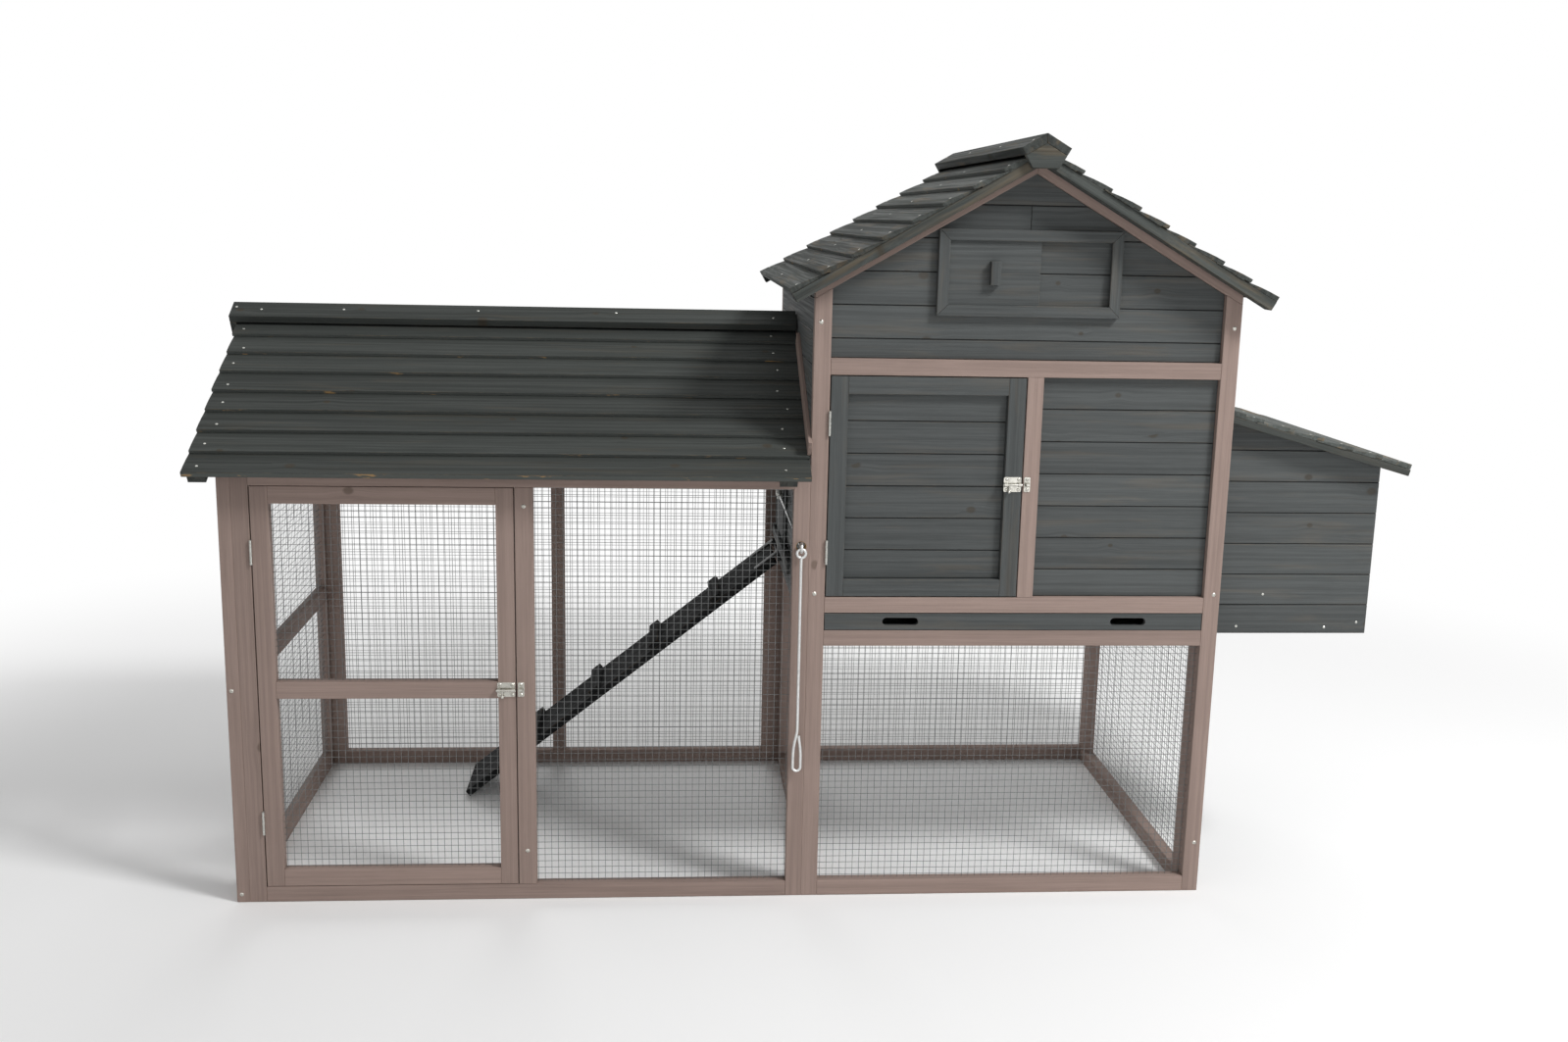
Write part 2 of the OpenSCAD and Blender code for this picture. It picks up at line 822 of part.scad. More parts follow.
module house_left_frame() {
  x = x1 + board_t;
  color(frame_paint) {
    house_side(0);
    upright([x, pop_y0 - timber_w, tray_z], [x + timber_t, pop_y0, plate_z]);
    for (z = [pop_z0 - timber_w, pop_z1])
      rail_y([x, pop_y0, z], [x + timber_t, inner_y1 - timber_w, z + timber_w]);
  }
}

module house_right_frame() {
  x = x2 - side_in;
  color(frame_paint) {
    house_side(1);
    for (z = [nest_sill_z - timber_w, nest_head_z])
      rail_y([x, inner_y0 + timber_w, z], [x + timber_t, inner_y1 - timber_w, z + timber_w]);
  }
}

module front_siding() {
  color(board_paint)
    boards_x([mullion_x + timber_w, bay_x], [base_z, head_z], head_z + 1,
      y0 + board_inset, board_t);
}

module gable_siding() {
  hole = [vent_hole_z, vent_hole_z + 2 * board_h];
  low = [head_z + timber_w, hole[0]];
  seamed = [hole[1], hole[1] + board_h];
  face = y0 + board_inset;
  color(board_paint) {
    boards_x([door_x, bay_x], low, gable_top, face, board_t) gable_space(y0, inner_y0);
    for (xs = [[door_x, vent_hole_x], [vent_hole_x + vent_hole_w, bay_x]])
      boards_x(xs, hole, gable_top, face, board_t) gable_space(y0, inner_y0);
    for (xs = [[door_x, seam_x], [seam_x, bay_x]])
      boards_x(xs, seamed, gable_top, face, board_t) gable_space(y0, inner_y0);
    boards_x([door_x, bay_x], [seamed[1], apex_z], gable_top, face, board_t)
      gable_space(y0, inner_y0);
  }
}

module back_siding() {
  face = y1 - board_inset;
  color(board_paint) {
    for (xs = [[door_x, mullion_x], [mullion_x + timber_w, bay_x]])
      boards_x(xs, [tray_z, head_z], head_z + 1, face, -board_t);
    boards_x([door_x, bay_x], [head_z + timber_w, apex_z], gable_top, face, -board_t)
      gable_space(inner_y1, y1);
  }
}

module left_siding() {
  whole = [inner_y0, inner_y1];
  color(board_paint) {
    boards_y(whole, [skirt_h, pop_z0], pop_z1, x1, board_t);
    for (ys = [[inner_y0, pop_y0], [pop_y1, inner_y1]])
      boards_y(ys, [pop_z0, pop_z1], pop_z1, x1, board_t);
    boards_y(whole, [pop_z1, deck_z], pop_z1, x1, board_t);
  }
}

module right_siding() {
  whole = [inner_y0, inner_y1];
  color(board_paint) {
    boards_y(whole, [skirt_h, nest_sill_z], nest_head_z, x2, -board_t);
    for (ys = [[inner_y0, nest_y0 + nest_post + board_t], [nest_y1 - nest_post - board_t, inner_y1]])
      boards_y(ys, [nest_sill_z, nest_head_z], nest_head_z, x2, -board_t);
    boards_y(whole, [nest_head_z, deck_z], nest_head_z, x2, -board_t);
  }
}

module house_right_mesh() {
  color(wire)
    net_y([inner_y0, inner_y1], [mesh_low, skirt_h], x2 - board_t);
}

module house_roof_boards() {
  len = house_half / cos(pitch) - ridge_gap;
  color(roof_paint)
    for (side = [0, 1], k = [0 : rows(len, cap_cover) - 1])
      along_y(y0 - verge, y1 + verge) slope(side, xc, house_half, house_edge_z) shingle(k, len);
}

module house_roof_battens() {
  color(roof_paint)
    for (side = [0, 1], y = [y0 - verge, y1 + verge - batten_w])
      along_y(y, y + batten_w) slope(side, xc, house_half, house_edge_z)
        batten_profile(house_half, barge_t, 0, 0);
}

module house_ridge_cap() {
  apex = apex_z + rafter_v;
  ys = [y0 - verge - cap_plate_t, y1 + verge + cap_plate_t];
  color(roof_paint) {
    for (side = [-1, 1]) along_y(ys[0], ys[1]) cap_board(side, xc, apex);
    for (y = [ys[0], ys[1] - cap_plate_t]) along_y(y, y + cap_plate_t) cap_plate(xc, apex);
  }
}

// ---------- vent ----------

module vent_frame() {
  in_h = vent_h - 2 * vent_strip;
  back = vent_strip - vent_tab - vent_gap;
  mid_y = y0 + vent_front_t;
  end_y = y0 + board_inset;
  color(board_paint) translate([vent_cx, 0, vent_z + vent_h / 2]) {
    for (a = [0, 180])
      along_y(y0, mid_y) rotate(a)
        polygon([[-vent_w / 2, vent_h / 2], [vent_w / 2, vent_h / 2],
          [vent_in_w / 2, in_h / 2], [-vent_in_w / 2, in_h / 2]]);
    for (a = [0, 180])
      along_y(y0, mid_y) rotate(a)
        polygon([[-vent_w / 2, vent_h / 2 - 2 * joint], [-vent_in_w / 2, in_h / 2 - 2 * joint],
          [-vent_in_w / 2, -in_h / 2 + 2 * joint], [-vent_w / 2, -vent_h / 2 + 2 * joint]]);
    for (s = [-1, 1]) {
      z = s * (vent_h - back) / 2;
      block([-vent_w / 2, mid_y + joint, z - back / 2], [vent_w / 2, end_y, z + back / 2]);
      x = s * (vent_w - back) / 2;
      upright([x - back / 2, mid_y + joint, back - vent_h / 2],
        [x + back / 2, end_y, vent_h / 2 - back]);
    }
  }
}

module vent_mesh() {
  lap = 8;
  color(wire)
    net_x([vent_hole_x - lap, vent_hole_x + vent_hole_w + lap],
      [vent_hole_z - lap, vent_hole_z + 2 * board_h + lap], y0 + board_inset + board_t);
}

module vent_slider() {
  y = y0 + vent_front_t + vent_gap;
  z = vent_z + vent_h / 2;
  half = vent_h / 2 - vent_strip + vent_tab - vent_gap;
  grip_x = vent_in_x + slide_w / 2;
  color(board_paint) {
    block([vent_in_x - vent_tab + vent_gap, y, z - half], [vent_in_x + slide_w, y + slide_t, z + half]);
    block([grip_x - slide_grip[0] / 2, y - slide_grip[2], z - slide_grip[1] / 2],
      [grip_x + slide_grip[0] / 2, y - joint, z + slide_grip[1] / 2]);
  }
}

// ---------- house door ----------

module house_door_frame() {
  w = house_door_w - 2 * door_gap;
  color(board_paint)
    door_frame(door_x + door_gap, house_door_z0, w, house_door_z1 - house_door_z0,
      [house_door_z0, house_door_z1 - stile_w]);
}

module house_door_boards() {
  xs = [door_x + door_gap + stile_w, house_door_x1 - stile_w];
  zs = [house_door_z0 + stile_w, house_door_z1 - stile_w];
  color(board_paint) boards_x(xs, zs, zs[1] + 10, y0 + board_inset, board_t);
}

module house_door_leaves() {
  color(zinc) for (z = house_hinges_z) door_leaf(door_x + door_gap / 2, z, 1);
}

module house_latch_case() {
  color(zinc)
    latch_plate(house_door_x1 - latch_edge - case_w, house_latch_z, case_w,
      [0, case_w - saddle_w]);
}

module house_latch_bolt() {
  color(zinc) latch_bolt(house_door_x1 - latch_edge - case_w, house_latch_z);
}

// ---------- hardware on the fixed frames ----------

// The frame's leaf of a lid hinge, or with side 1 the lid's
module lid_knuckles(y, side) {
  for (dy = side < 0 ? [0, 2 * knuckle_l] : [knuckle_l])
    translate([lid_pin_x, y + dy, lid_pin_z]) rotate([-90, 0, 0])
      cylinder(d = knuckle_d, h = knuckle_l);
}

module lid_bore(y) {
  translate([lid_pin_x, y - 1, lid_pin_z]) rotate([-90, 0, 0])
    cylinder(d = pin_d + 2 * bore_gap, h = hinge_l + 2);
}

module hinge_leaves() {
  color(zinc) {
    for (h = door_hinges) door_leaf(h[0], h[1], -1);
    for (y = lid_hinges)
      difference() {
        union() {
          block([x2, y, lid_pin_z + knuckle_d / 2], [x2 + lid_leaf_t, y + hinge_l, lid_pin_z + leaf_w]);
          for (dy = [0, 2 * knuckle_l])
            block([x2, y + dy, lid_pin_z], [x2 + lid_leaf_t, y + dy + knuckle_l, lid_pin_z + leaf_w]);
          lid_knuckles(y, -1);
        }
        lid_bore(y);
      }
  }
}

module hinge_pins() {
  color(zinc) {
    for (h = door_hinges)
      bar([h[0], hinge_y, h[1] - 0.5], [h[0], hinge_y, h[1] + hinge_l + 0.5], pin_d);
    for (y = lid_hinges)
      bar([lid_pin_x, y - 0.5, lid_pin_z], [lid_pin_x, y + hinge_l + 0.5, lid_pin_z], pin_d);
  }
}

module latch_keepers() {
  lap = (keeper_w - saddle_w) / 2;
  color(zinc) {
    latch_plate(run_mid_x + door_gap, run_latch_z, keeper_w, [lap]);
    latch_plate(mullion_x + door_gap, house_latch_z, keeper_w, [lap]);
  }
}

// Where screw heads show on the front, in X and Z
screws_xz = [
  [x1 + timber_t / 2, plate_z - 43], [x2 - timber_t / 2, plate_z - 43],
  [x1 + timber_t / 2, base_z + 6], [x2 - timber_t / 2, base_z + 6],
  [x2 - timber_t / 2, 100], [x0 + 9, run_rail_z + timber_w / 2], [x0 + 9, timber_w / 2],
  [run_mid_x + run_mid_w / 2, 97], [run_mid_x + run_mid_w / 2, run_top_z - 35]
];

module screws() {
  color(zinc)
    for (s = screws_xz)
      translate([s[0], y0, s[1]]) rotate([90, 0, 0])
        cylinder(d1 = screw_d, d2 = screw_d * 0.7, h = screw_t);
}

// ---------- tray and perch ----------

module tray_front() {
  z0 = tray_z + tray_gap;
  z1 = sill_z - tray_gap;
  color(board_paint)
    difference() {
      block([door_x + tray_gap, y0, z0], [bay_x - tray_gap, y0 + tray_front_t, z1]);
      for (dx = [-finger_dx, finger_dx])
        translate([xc + dx, y0 - 1, (z0 + z1) / 2]) {
          for (s = [-1, 1])
            translate([s * (finger_w - finger_h) / 2, 0, 0]) rotate([-90, 0, 0])
              cylinder(d = finger_h, h = tray_front_t + 2);
          block([-(finger_w - finger_h) / 2, 0, -finger_h / 2],
            [(finger_w - finger_h) / 2, tray_front_t + 2, finger_h / 2]);
        }
    }
}

module tray_pan() {
  xs = [x1 + side_in + pan_side, x2 - side_in - pan_side];
  ys = [y0 + tray_front_t, inner_y1 - pan_side];
  z = tray_z + pan_lift;
  top = z + pan_h;
  color(zinc) {
    block([xs[0], ys[0], z], [xs[1], ys[1], z + pan_t]);
    for (x = [xs[0], xs[1] - pan_t])
      block([x, ys[0], z + pan_t + joint], [x + pan_t, ys[1], top]);
    rail_x([xs[0] + pan_t, ys[1] - pan_t, z + pan_t + joint], [xs[1] - pan_t, ys[1], top]);
  }
}

module tray_runners() {
  color(frame_paint)
    for (x = [x1 + side_in, x2 - side_in - runner_w])
      block([x, inner_y0, tray_z - runner_w], [x + runner_w, inner_y1, tray_z]);
}

module perches() {
  x = mullion_x + (timber_w - perch_w) / 2;
  hold = 20;
  color(frame_paint) {
    block([x, inner_y0, perch_z], [x + perch_w, inner_y1, perch_z + perch_h]);
    for (y = [inner_y0, inner_y1 - hold])
      upright([mullion_x, y, perch_z - hold], [mullion_x + timber_w, y + hold, perch_z]);
  }
}

// ---------- nest box ----------

module nest_walls() {
  top = nest_z + nest_first + nest_courses * board_h;
  zs = [nest_z, nest_top_in];
  color(board_paint) {
    boards_x([x2, x3], zs, top, nest_y0, board_t) nest_space();
    boards_x([x2, x3], zs, top, nest_y1, -board_t) nest_space();
    boards_y([nest_y0 + board_t, nest_y1 - board_t], zs, top, x3, -board_t) nest_space();
  }
}

module nest_posts() {
  color(frame_paint)
    for (x = [x2, x3 - board_t - nest_post],
      y = [nest_y0 + board_t, nest_y1 - board_t - nest_post])
      intersection() {
        block([x, y, nest_z + nest_floor_t], [x + nest_post, y + nest_post, nest_top_in]);
        nest_space();
      }
}

module nest_floor() {
  z = nest_z + nest_floor_t;
  color(board_paint) {
    block([x2, nest_y0 + board_t, nest_z], [x3 - board_t, nest_y1 - board_t, z]);
    upright([x2, -board_t / 2, z], [x3 - board_t, board_t / 2, z + divider_h]);
  }
}

module nest_lid_boards() {
  len = lid_l - lid_head_w;
  ys = [nest_y0 - lid_side, nest_y1 + lid_side];
  color(roof_paint) {
    for (k = [0 : ceil(len / exposure) - 1])
      along_y(ys[0], ys[1]) lid_slope() shingle(k, len);
    along_y(ys[0], ys[1]) lid_slope() translate([len + joint, joint])
      square([lid_head_w - joint, tip_n - joint]);
  }
}

module nest_lid_battens() {
  color(roof_paint)
    for (y = [nest_y0 - lid_side, nest_y1 + lid_side - lid_batten])
      along_y(y, y + lid_batten) lid_slope() translate([0, -batten_t]) square([lid_l, batten_t]);
}

module nest_lid_leaves() {
  color(zinc)
    for (y = lid_hinges)
      difference() {
        union() {
          along_y(y, y + hinge_l) lid_slope() translate([lid_l - leaf_w, tip_n])
            square([leaf_w, lid_leaf_t]);
          along_y(y + knuckle_l, y + 2 * knuckle_l) lid_slope() translate([lid_l, tip_n])
            square([lid_pin_s - lid_l, lid_leaf_t]);
          lid_knuckles(y, 1);
        }
        lid_bore(y);
      }
}

// ---------- sliding door and its rod ----------

module pop_door() {
  x = x1 - pop_gap;
  color(board_paint)
    block([x - pop_t, pop_y0 - pop_lap, pop_z0 - pop_lap], [x, pop_y1 + pop_lap, pop_z1 + pop_lap]);
}

module pop_door_rails() {
  ys = [pop_y0 - pop_lap - pop_travel - guide_past, pop_y1 + pop_lap + guide_past];
  deep = pop_t + 2 * pop_gap;
  color(board_paint)
    difference() {
      for (side = [0, 1])
        translate([x1, 0, (pop_z0 + pop_z1) / 2]) mirror([0, 0, side]) {
          edge = -pop_h / 2 - pop_lap - pop_run;
          block([-deep + joint, ys[0], edge - guide_h], [0, ys[1], edge]);
          block([-deep - guide_t, ys[0], edge - guide_h], [-deep, ys[1], edge + guide_lip]);
        }
      roof_space();
    }
}

// All that lies over the run's deck behind the ridge, where the upper guide ends
module roof_space() {
  translate([0, 0, -joint])
    along_x(x1 - timber_w, x1 + joint)
      polygon([[0, run_apex_z], [y1, run_deck_z], [y1, apex_z], [0, apex_z]]);
}

module pull_rod() {
  face = x1 - pop_gap - pop_t;
  color(zinc) {
    bar([rod_x, eye_y + ring_r, rod_z], [rod_x, pop_y0 + rod_reach, rod_z], rod_d);
    translate([rod_x, eye_y, rod_z]) rotate([0, 90, 0]) ring(ring_r, rod_d);
    for (y = [pop_y0 + clip_in, pop_y0 + rod_reach - clip - clip_end])
      difference() {
        block([rod_x - clip / 2, y, rod_z - clip / 2], [face, y + clip, rod_z + clip / 2]);
        bar([rod_x, y - 1, rod_z], [rod_x, y + clip + 1, rod_z], rod_d + 2 * bore_gap);
      }
  }
}

module pull_handle() {
  tip = handle_l - loop_r - rod_d / 2;
  neck = tip - loop_l + 2 * loop_r;
  color(zinc)
    translate([rod_x, eye_y, rod_z]) {
      translate([0, 0, -ring_r - ring_hang]) rotate([90, 0, 0]) ring(ring_r, rod_d);
      bar([0, 0, -neck + loop_r], [0, 0, -2 * ring_r - ring_hang], rod_d);
      for (s = [-1, 1]) bar([s * loop_r, 0, -tip], [s * loop_r, 0, -neck], rod_d);
      translate([0, 0, -neck]) rotate([90, 0, 0]) ring(loop_r, rod_d, 180);
      translate([0, 0, -tip]) rotate([-90, 0, 0]) ring(loop_r, rod_d, 180);
    }
}

// ---------- ramp ----------

// The ramp's section about its pivot: X runs up the ramp, Y is square to it
module ramp_section() {
  translate([pivot_x, pivot_z]) rotate(ramp_slope) children();
}

module ramp_board() {
  color(ramp_paint)
    along_y(ramp_y0, ramp_y1) ramp_section()
      translate([-ramp_l, -ramp_t / 2]) square([ramp_l - ramp_end_gap, ramp_t]);
}

module ramp_cleats() {
  last = floor((ramp_l - cleat_first - hook_l - cleat_w) / cleat_step);
  color(ramp_paint)
    for (k = [0 : last])
      along_y(ramp_y0, ramp_y1) ramp_section()
        translate([-ramp_l + cleat_first + k * cleat_step, ramp_t / 2]) square([cleat_w, cleat_h]);
}

module ramp_hooks() {
  edge = 12;
  color(black_steel)
    for (y = [ramp_y0 + edge, ramp_y1 - edge - hook_w])
      difference() {
        union() {
          along_y(y, y + hook_w) ramp_section() circle(d = hook_d);
          along_y(y, y + hook_w) ramp_section() translate([-hook_l, ramp_t / 2])
            square([hook_l, hook_t]);
          along_y(y, y + hook_w) ramp_section() translate([-hook_t, hook_d / 2 - 1])
            square([2 * hook_t, ramp_t / 2 - hook_d / 2 + 1 + hook_t]);
        }
        bar([pivot_x, y - 1, pivot_z], [pivot_x, y + hook_w + 1, pivot_z],
          pivot_bar_d + 2 * pivot_gap);
      }
}

module ramp_hanger() {
  over = 12;
  color(black_steel) {
    bar([pivot_x, ramp_y0 - over, pivot_z], [pivot_x, ramp_y1 + over, pivot_z], pivot_bar_d);
    for (y = [ramp_y0 - over + 2, ramp_y1 + over - 2 - bracket_t])
      difference() {
        block([pivot_x - bracket_h / 2, y, pivot_z - bracket_h / 2],
          [x1, y + bracket_t, pivot_z + bracket_h / 2]);
        bar([pivot_x, y - 1, pivot_z], [pivot_x, y + bracket_t + 1, pivot_z],
          pivot_bar_d + 2 * pivot_gap);
      }
  }
}

run_side_frame();
run_front_frame();
run_back_frame();
run_gable_frame();
run_gable_boards();
run_side_mesh();
front_mesh();
back_mesh();
run_roof_boards();
run_roof_battens();
run_ridge_cap();
ridge_beams();
run_door_frame();
run_door_mesh();
run_door_leaves();
run_latch_case();
run_latch_bolt();
house_front_frame();
house_back_frame();
house_left_frame();
house_right_frame();
front_siding();
gable_siding();
back_siding();
left_siding();
right_siding();
house_right_mesh();
house_roof_boards();
house_roof_battens();
house_ridge_cap();
vent_frame();
vent_mesh();
vent_slider();
house_door_frame();
house_door_boards();
house_door_leaves();
house_latch_case();
house_latch_bolt();
hinge_leaves();
hinge_pins();
latch_keepers();
tray_front();
tray_pan();
tray_runners();
perches();
nest_walls();
nest_posts();
nest_floor();
nest_lid_boards();
nest_lid_battens();
nest_lid_leaves();
pop_door();
pop_door_rails();
pull_rod();
pull_handle();
ramp_board();
ramp_cleats();
ramp_hooks();
ramp_hanger();
screws();
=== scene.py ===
"""Looks for a timber hen house with a netted run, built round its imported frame."""

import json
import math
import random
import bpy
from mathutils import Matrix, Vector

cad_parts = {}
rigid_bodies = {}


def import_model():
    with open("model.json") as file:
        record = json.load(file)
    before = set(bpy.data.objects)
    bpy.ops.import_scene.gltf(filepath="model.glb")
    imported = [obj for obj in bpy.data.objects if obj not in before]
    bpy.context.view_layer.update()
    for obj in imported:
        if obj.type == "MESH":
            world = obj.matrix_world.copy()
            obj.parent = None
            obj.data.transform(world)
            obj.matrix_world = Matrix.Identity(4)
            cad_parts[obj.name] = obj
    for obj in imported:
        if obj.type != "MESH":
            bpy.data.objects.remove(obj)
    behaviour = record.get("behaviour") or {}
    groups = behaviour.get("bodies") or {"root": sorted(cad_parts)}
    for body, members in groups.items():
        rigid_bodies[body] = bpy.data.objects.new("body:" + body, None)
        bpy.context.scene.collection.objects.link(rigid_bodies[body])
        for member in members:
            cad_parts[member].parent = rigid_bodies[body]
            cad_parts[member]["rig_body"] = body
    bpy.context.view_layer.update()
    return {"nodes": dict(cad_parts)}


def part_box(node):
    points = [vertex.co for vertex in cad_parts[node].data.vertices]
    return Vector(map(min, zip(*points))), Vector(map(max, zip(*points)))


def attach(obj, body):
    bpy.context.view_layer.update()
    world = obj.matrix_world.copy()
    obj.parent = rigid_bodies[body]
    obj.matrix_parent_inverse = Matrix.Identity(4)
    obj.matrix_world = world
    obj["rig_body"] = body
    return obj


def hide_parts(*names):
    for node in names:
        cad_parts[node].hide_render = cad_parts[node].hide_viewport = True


bl_info = {
    "name": "Hen house looks",
    "version": (1, 0, 0),
    "blender": (4, 5, 0),
    "location": "View3D > Sidebar > Hen house",
    "description": "Builds the timber, netting and ironmongery of a hen house",
    "category": "Object",
}

import bmesh
import bpy
from bpy.props import FloatProperty, FloatVectorProperty, PointerProperty
from mathutils import Matrix, Vector
from mathutils.bvhtree import BVHTree

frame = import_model()
NODES = frame["nodes"]

FRAME_TIMBER = [
    "run_side_frame", "run_front_frame", "run_back_frame", "run_gable_frame",
    "ridge_beams", "run_door_frame", "house_front_frame", "house_back_frame",
    "house_left_frame", "house_right_frame", "tray_runners", "nest_posts",
]
WALL_BOARDS = [
    "run_gable_boards", "front_siding", "gable_siding", "back_siding",
    "left_siding", "right_siding", "nest_walls", "nest_floor",
]
JOINERY = [
    "vent_frame", "vent_slider", "house_door_frame", "house_door_boards",
    "tray_front", "pop_door", "pop_door_rails",
]
RUN_ROOF = ["run_roof_boards", "run_roof_battens", "run_ridge_cap"]
HOUSE_ROOF = ["house_roof_boards", "house_roof_battens", "house_ridge_cap"]
NEST_LID = ["nest_lid_boards", "nest_lid_battens"]
NETS = [
    "run_side_mesh", "front_mesh", "back_mesh", "run_door_mesh",
    "house_right_mesh", "vent_mesh",
]
SHEET_METAL = [
    "hinge_leaves", "hinge_pins", "run_door_leaves", "house_door_leaves",
    "nest_lid_leaves",
]
RAMP_IRON = ["ramp_hooks", "ramp_hanger"]
DOWN = Vector((0, 0, -1))
BACK = Vector((0, 1, 0))

# The slopes, and the level distance between two courses of their boards
ROOF_PITCH = math.radians(30)
LID_PITCH = math.radians(15.6)
ROOF_COURSE = 0.061 * math.cos(ROOF_PITCH)
LID_COURSE = 0.0588
ROOF_ROWS = 8
LID_ROWS = 6

# Where a nail stands above the lower edge of its course, as a share of the
# course, and where the lines start along which nails are driven
NAIL_UP_COURSE = 0.36
FAR = 2.0

# The latches: stamped plates with pressed straps, and the bolts in them
PLATE_THICK = 0.0012
PLATE_CHAMFER = 0.0003
PLATE_SCREW = (0.0062, 0.0013)
PLATE_SCREW_OFF = 0.0098
STRAP_WIDTH = 0.006
STRAP_BORE = 0.0027
STRAP_THICK = 0.0011
BOLT_AXIS_OFF = 0.006
BOLT_RADIUS = 0.0025
KNOB_RADIUS = 0.00325

# The radius of the pull rod's eye and of the handle's ring, at the wire's centre
RING = 0.008

# The camera's place and aim, fitted to the right angles that the coop shows
CAMERA_PLACE = Vector((-0.28378, -3.13248, 1.28390))
CAMERA_YAW = math.radians(4.435)
CAMERA_PITCH = math.radians(11.322)
CAMERA_ROLL = math.radians(1.208)
CAMERA_SHIFT = (0.0034, 0.0020)


def srgb(*levels):
    """The scene-linear colour of three sRGB levels from 0 to 255."""
    return tuple(((v / 255 + 0.055) / 1.055) ** 2.4 for v in levels)


# ---------- sizes and colours that a user may change ----------


class TimberSettings(bpy.types.PropertyGroup):
    edge: FloatProperty(
        name="Edge", description="Width of the eased edge of planed timber",
        default=0.0009, min=0.0002, max=0.003, unit="LENGTH",
    )
    frame_colour: FloatVectorProperty(
        name="Frame", description="Paint of the frame timber",
        subtype="COLOR", size=3, default=srgb(145, 127, 119),
    )
    board_colour: FloatVectorProperty(
        name="Boards", description="Stain of the wall boards and doors",
        subtype="COLOR", size=3, default=srgb(79, 82, 82),
    )
    roof_colour: FloatVectorProperty(
        name="Roofs", description="Stain of the roof boards",
        subtype="COLOR", size=3, default=srgb(60, 63, 61),
    )
    ramp_colour: FloatVectorProperty(
        name="Ramp", description="Stain of the ramp",
        subtype="COLOR", size=3, default=srgb(27, 28, 29),
    )
    raw_colour: FloatVectorProperty(
        name="Raw wood", description="Softwood where the stain is worn off",
        subtype="COLOR", size=3, default=srgb(176, 143, 98),
    )


class NettingSettings(bpy.types.PropertyGroup):
    pitch: FloatProperty(
        name="Pitch", description="Distance between two wires",
        default=0.0127, min=0.006, max=0.03, unit="LENGTH",
    )
    wire: FloatProperty(
        name="Wire", description="Diameter of a wire",
        default=0.001, min=0.0005, max=0.002, unit="LENGTH",
    )
    bulge: FloatProperty(
        name="Bulge", description="How far a sheet of netting leaves its plane",
        default=0.0012, min=0.0, max=0.004, unit="LENGTH",
    )


class IronmongerySettings(bpy.types.PropertyGroup):
    screw: FloatProperty(
        name="Screw head", description="Diameter of a frame screw's head",
        default=0.0078, min=0.004, max=0.012, unit="LENGTH",
    )
    nail: FloatProperty(
        name="Nail head", description="Diameter of a roof nail's head",
        default=0.0052, min=0.002, max=0.008, unit="LENGTH",
    )
    rod: FloatProperty(
        name="Rod", description="Diameter of the pull rod and its handle",
        default=0.0055, min=0.003, max=0.008, unit="LENGTH",
    )


class StageSettings(bpy.types.PropertyGroup):
    lens: FloatProperty(
        name="Lens", description="Focal length of the camera, in millimetres",
        default=35.1, min=20, max=80,
    )
    sky: FloatProperty(
        name="Sky", description="Strength of the light from all round",
        default=0.45, min=0.1, max=1.5,
    )
    key: FloatProperty(
        name="Key", description="Power of the soft main light on the right, in watts",
        default=150.0, min=0.0, max=500.0,
    )
    fill: FloatProperty(
        name="Fill", description="Power of the low soft light in front, in watts",
        default=9.0, min=0.0, max=200.0,
    )
    back: FloatProperty(
        name="Back", description="Power of the soft light behind, in watts",
        default=55.0, min=0.0, max=300.0,
    )


# ---------- small makers ----------


def as_mesh(name, bm):
    """The mesh of a bmesh, which is done with."""
    mesh = bpy.data.meshes.new(name)
    bm.to_mesh(mesh)
    bm.free()
    return mesh


def piece(name, bm, body, material, smooth=False, replaces=()):
    """Turns a bmesh into a finished piece that rides on a body."""
    mesh = as_mesh(name, bm)
    obj = bpy.data.objects.new(name, mesh)
    bpy.context.scene.collection.objects.link(obj)
    mesh.materials.append(material)
    if smooth:
        mesh.shade_smooth()
        mesh.set_sharp_from_angle(angle=math.radians(38))
    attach(obj, body)
    if replaces:
        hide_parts(*replaces)
    return obj


def hardware(name, bm, body, finish, replaces=()):
    """A smooth piece of plated ironmongery."""
    piece(name, bm, body, FINISHES[finish], smooth=True, replaces=replaces)


def body_of(node):
    """The body that a CAD node rides on."""
    return NODES[node]["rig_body"]


def merged_copy(node):
    """A bmesh of a CAD node with its corners joined and its flat faces whole."""
    bm = bmesh.new()
    bm.from_mesh(NODES[node].data)
    bmesh.ops.remove_doubles(bm, verts=bm.verts[:], dist=2e-5)
    bmesh.ops.dissolve_limit(
        bm, angle_limit=math.radians(0.6), verts=bm.verts[:], edges=bm.edges[:],
        delimit=set(),
    )
    return bm


def solids(bm):
    """The separate solids of a bmesh, as lists of vertices."""
    met, found = set(), []
    for seed in bm.verts:
        if seed in met:
            continue
        met.add(seed)
        group, ahead = [seed], [seed]
        while ahead:
            v = ahead.pop()
            for e in v.link_edges:
                o = e.other_vert(v)
                if o not in met:
                    met.add(o)
                    group.append(o)
                    ahead.append(o)
        found.append(group)
    return found


def extent(verts):
    """The lowest and the highest corner of the box round some vertices."""
    lo = Vector([min(v.co[i] for v in verts) for i in range(3)])
    hi = Vector([max(v.co[i] for v in verts) for i in range(3)])
    return lo, hi


def solid_boxes(node):
    """The lowest and the highest corner of each solid of a CAD node."""
    bm = merged_copy(node)
    boxes = [extent(verts) for verts in solids(bm)]
    bm.free()
    return boxes


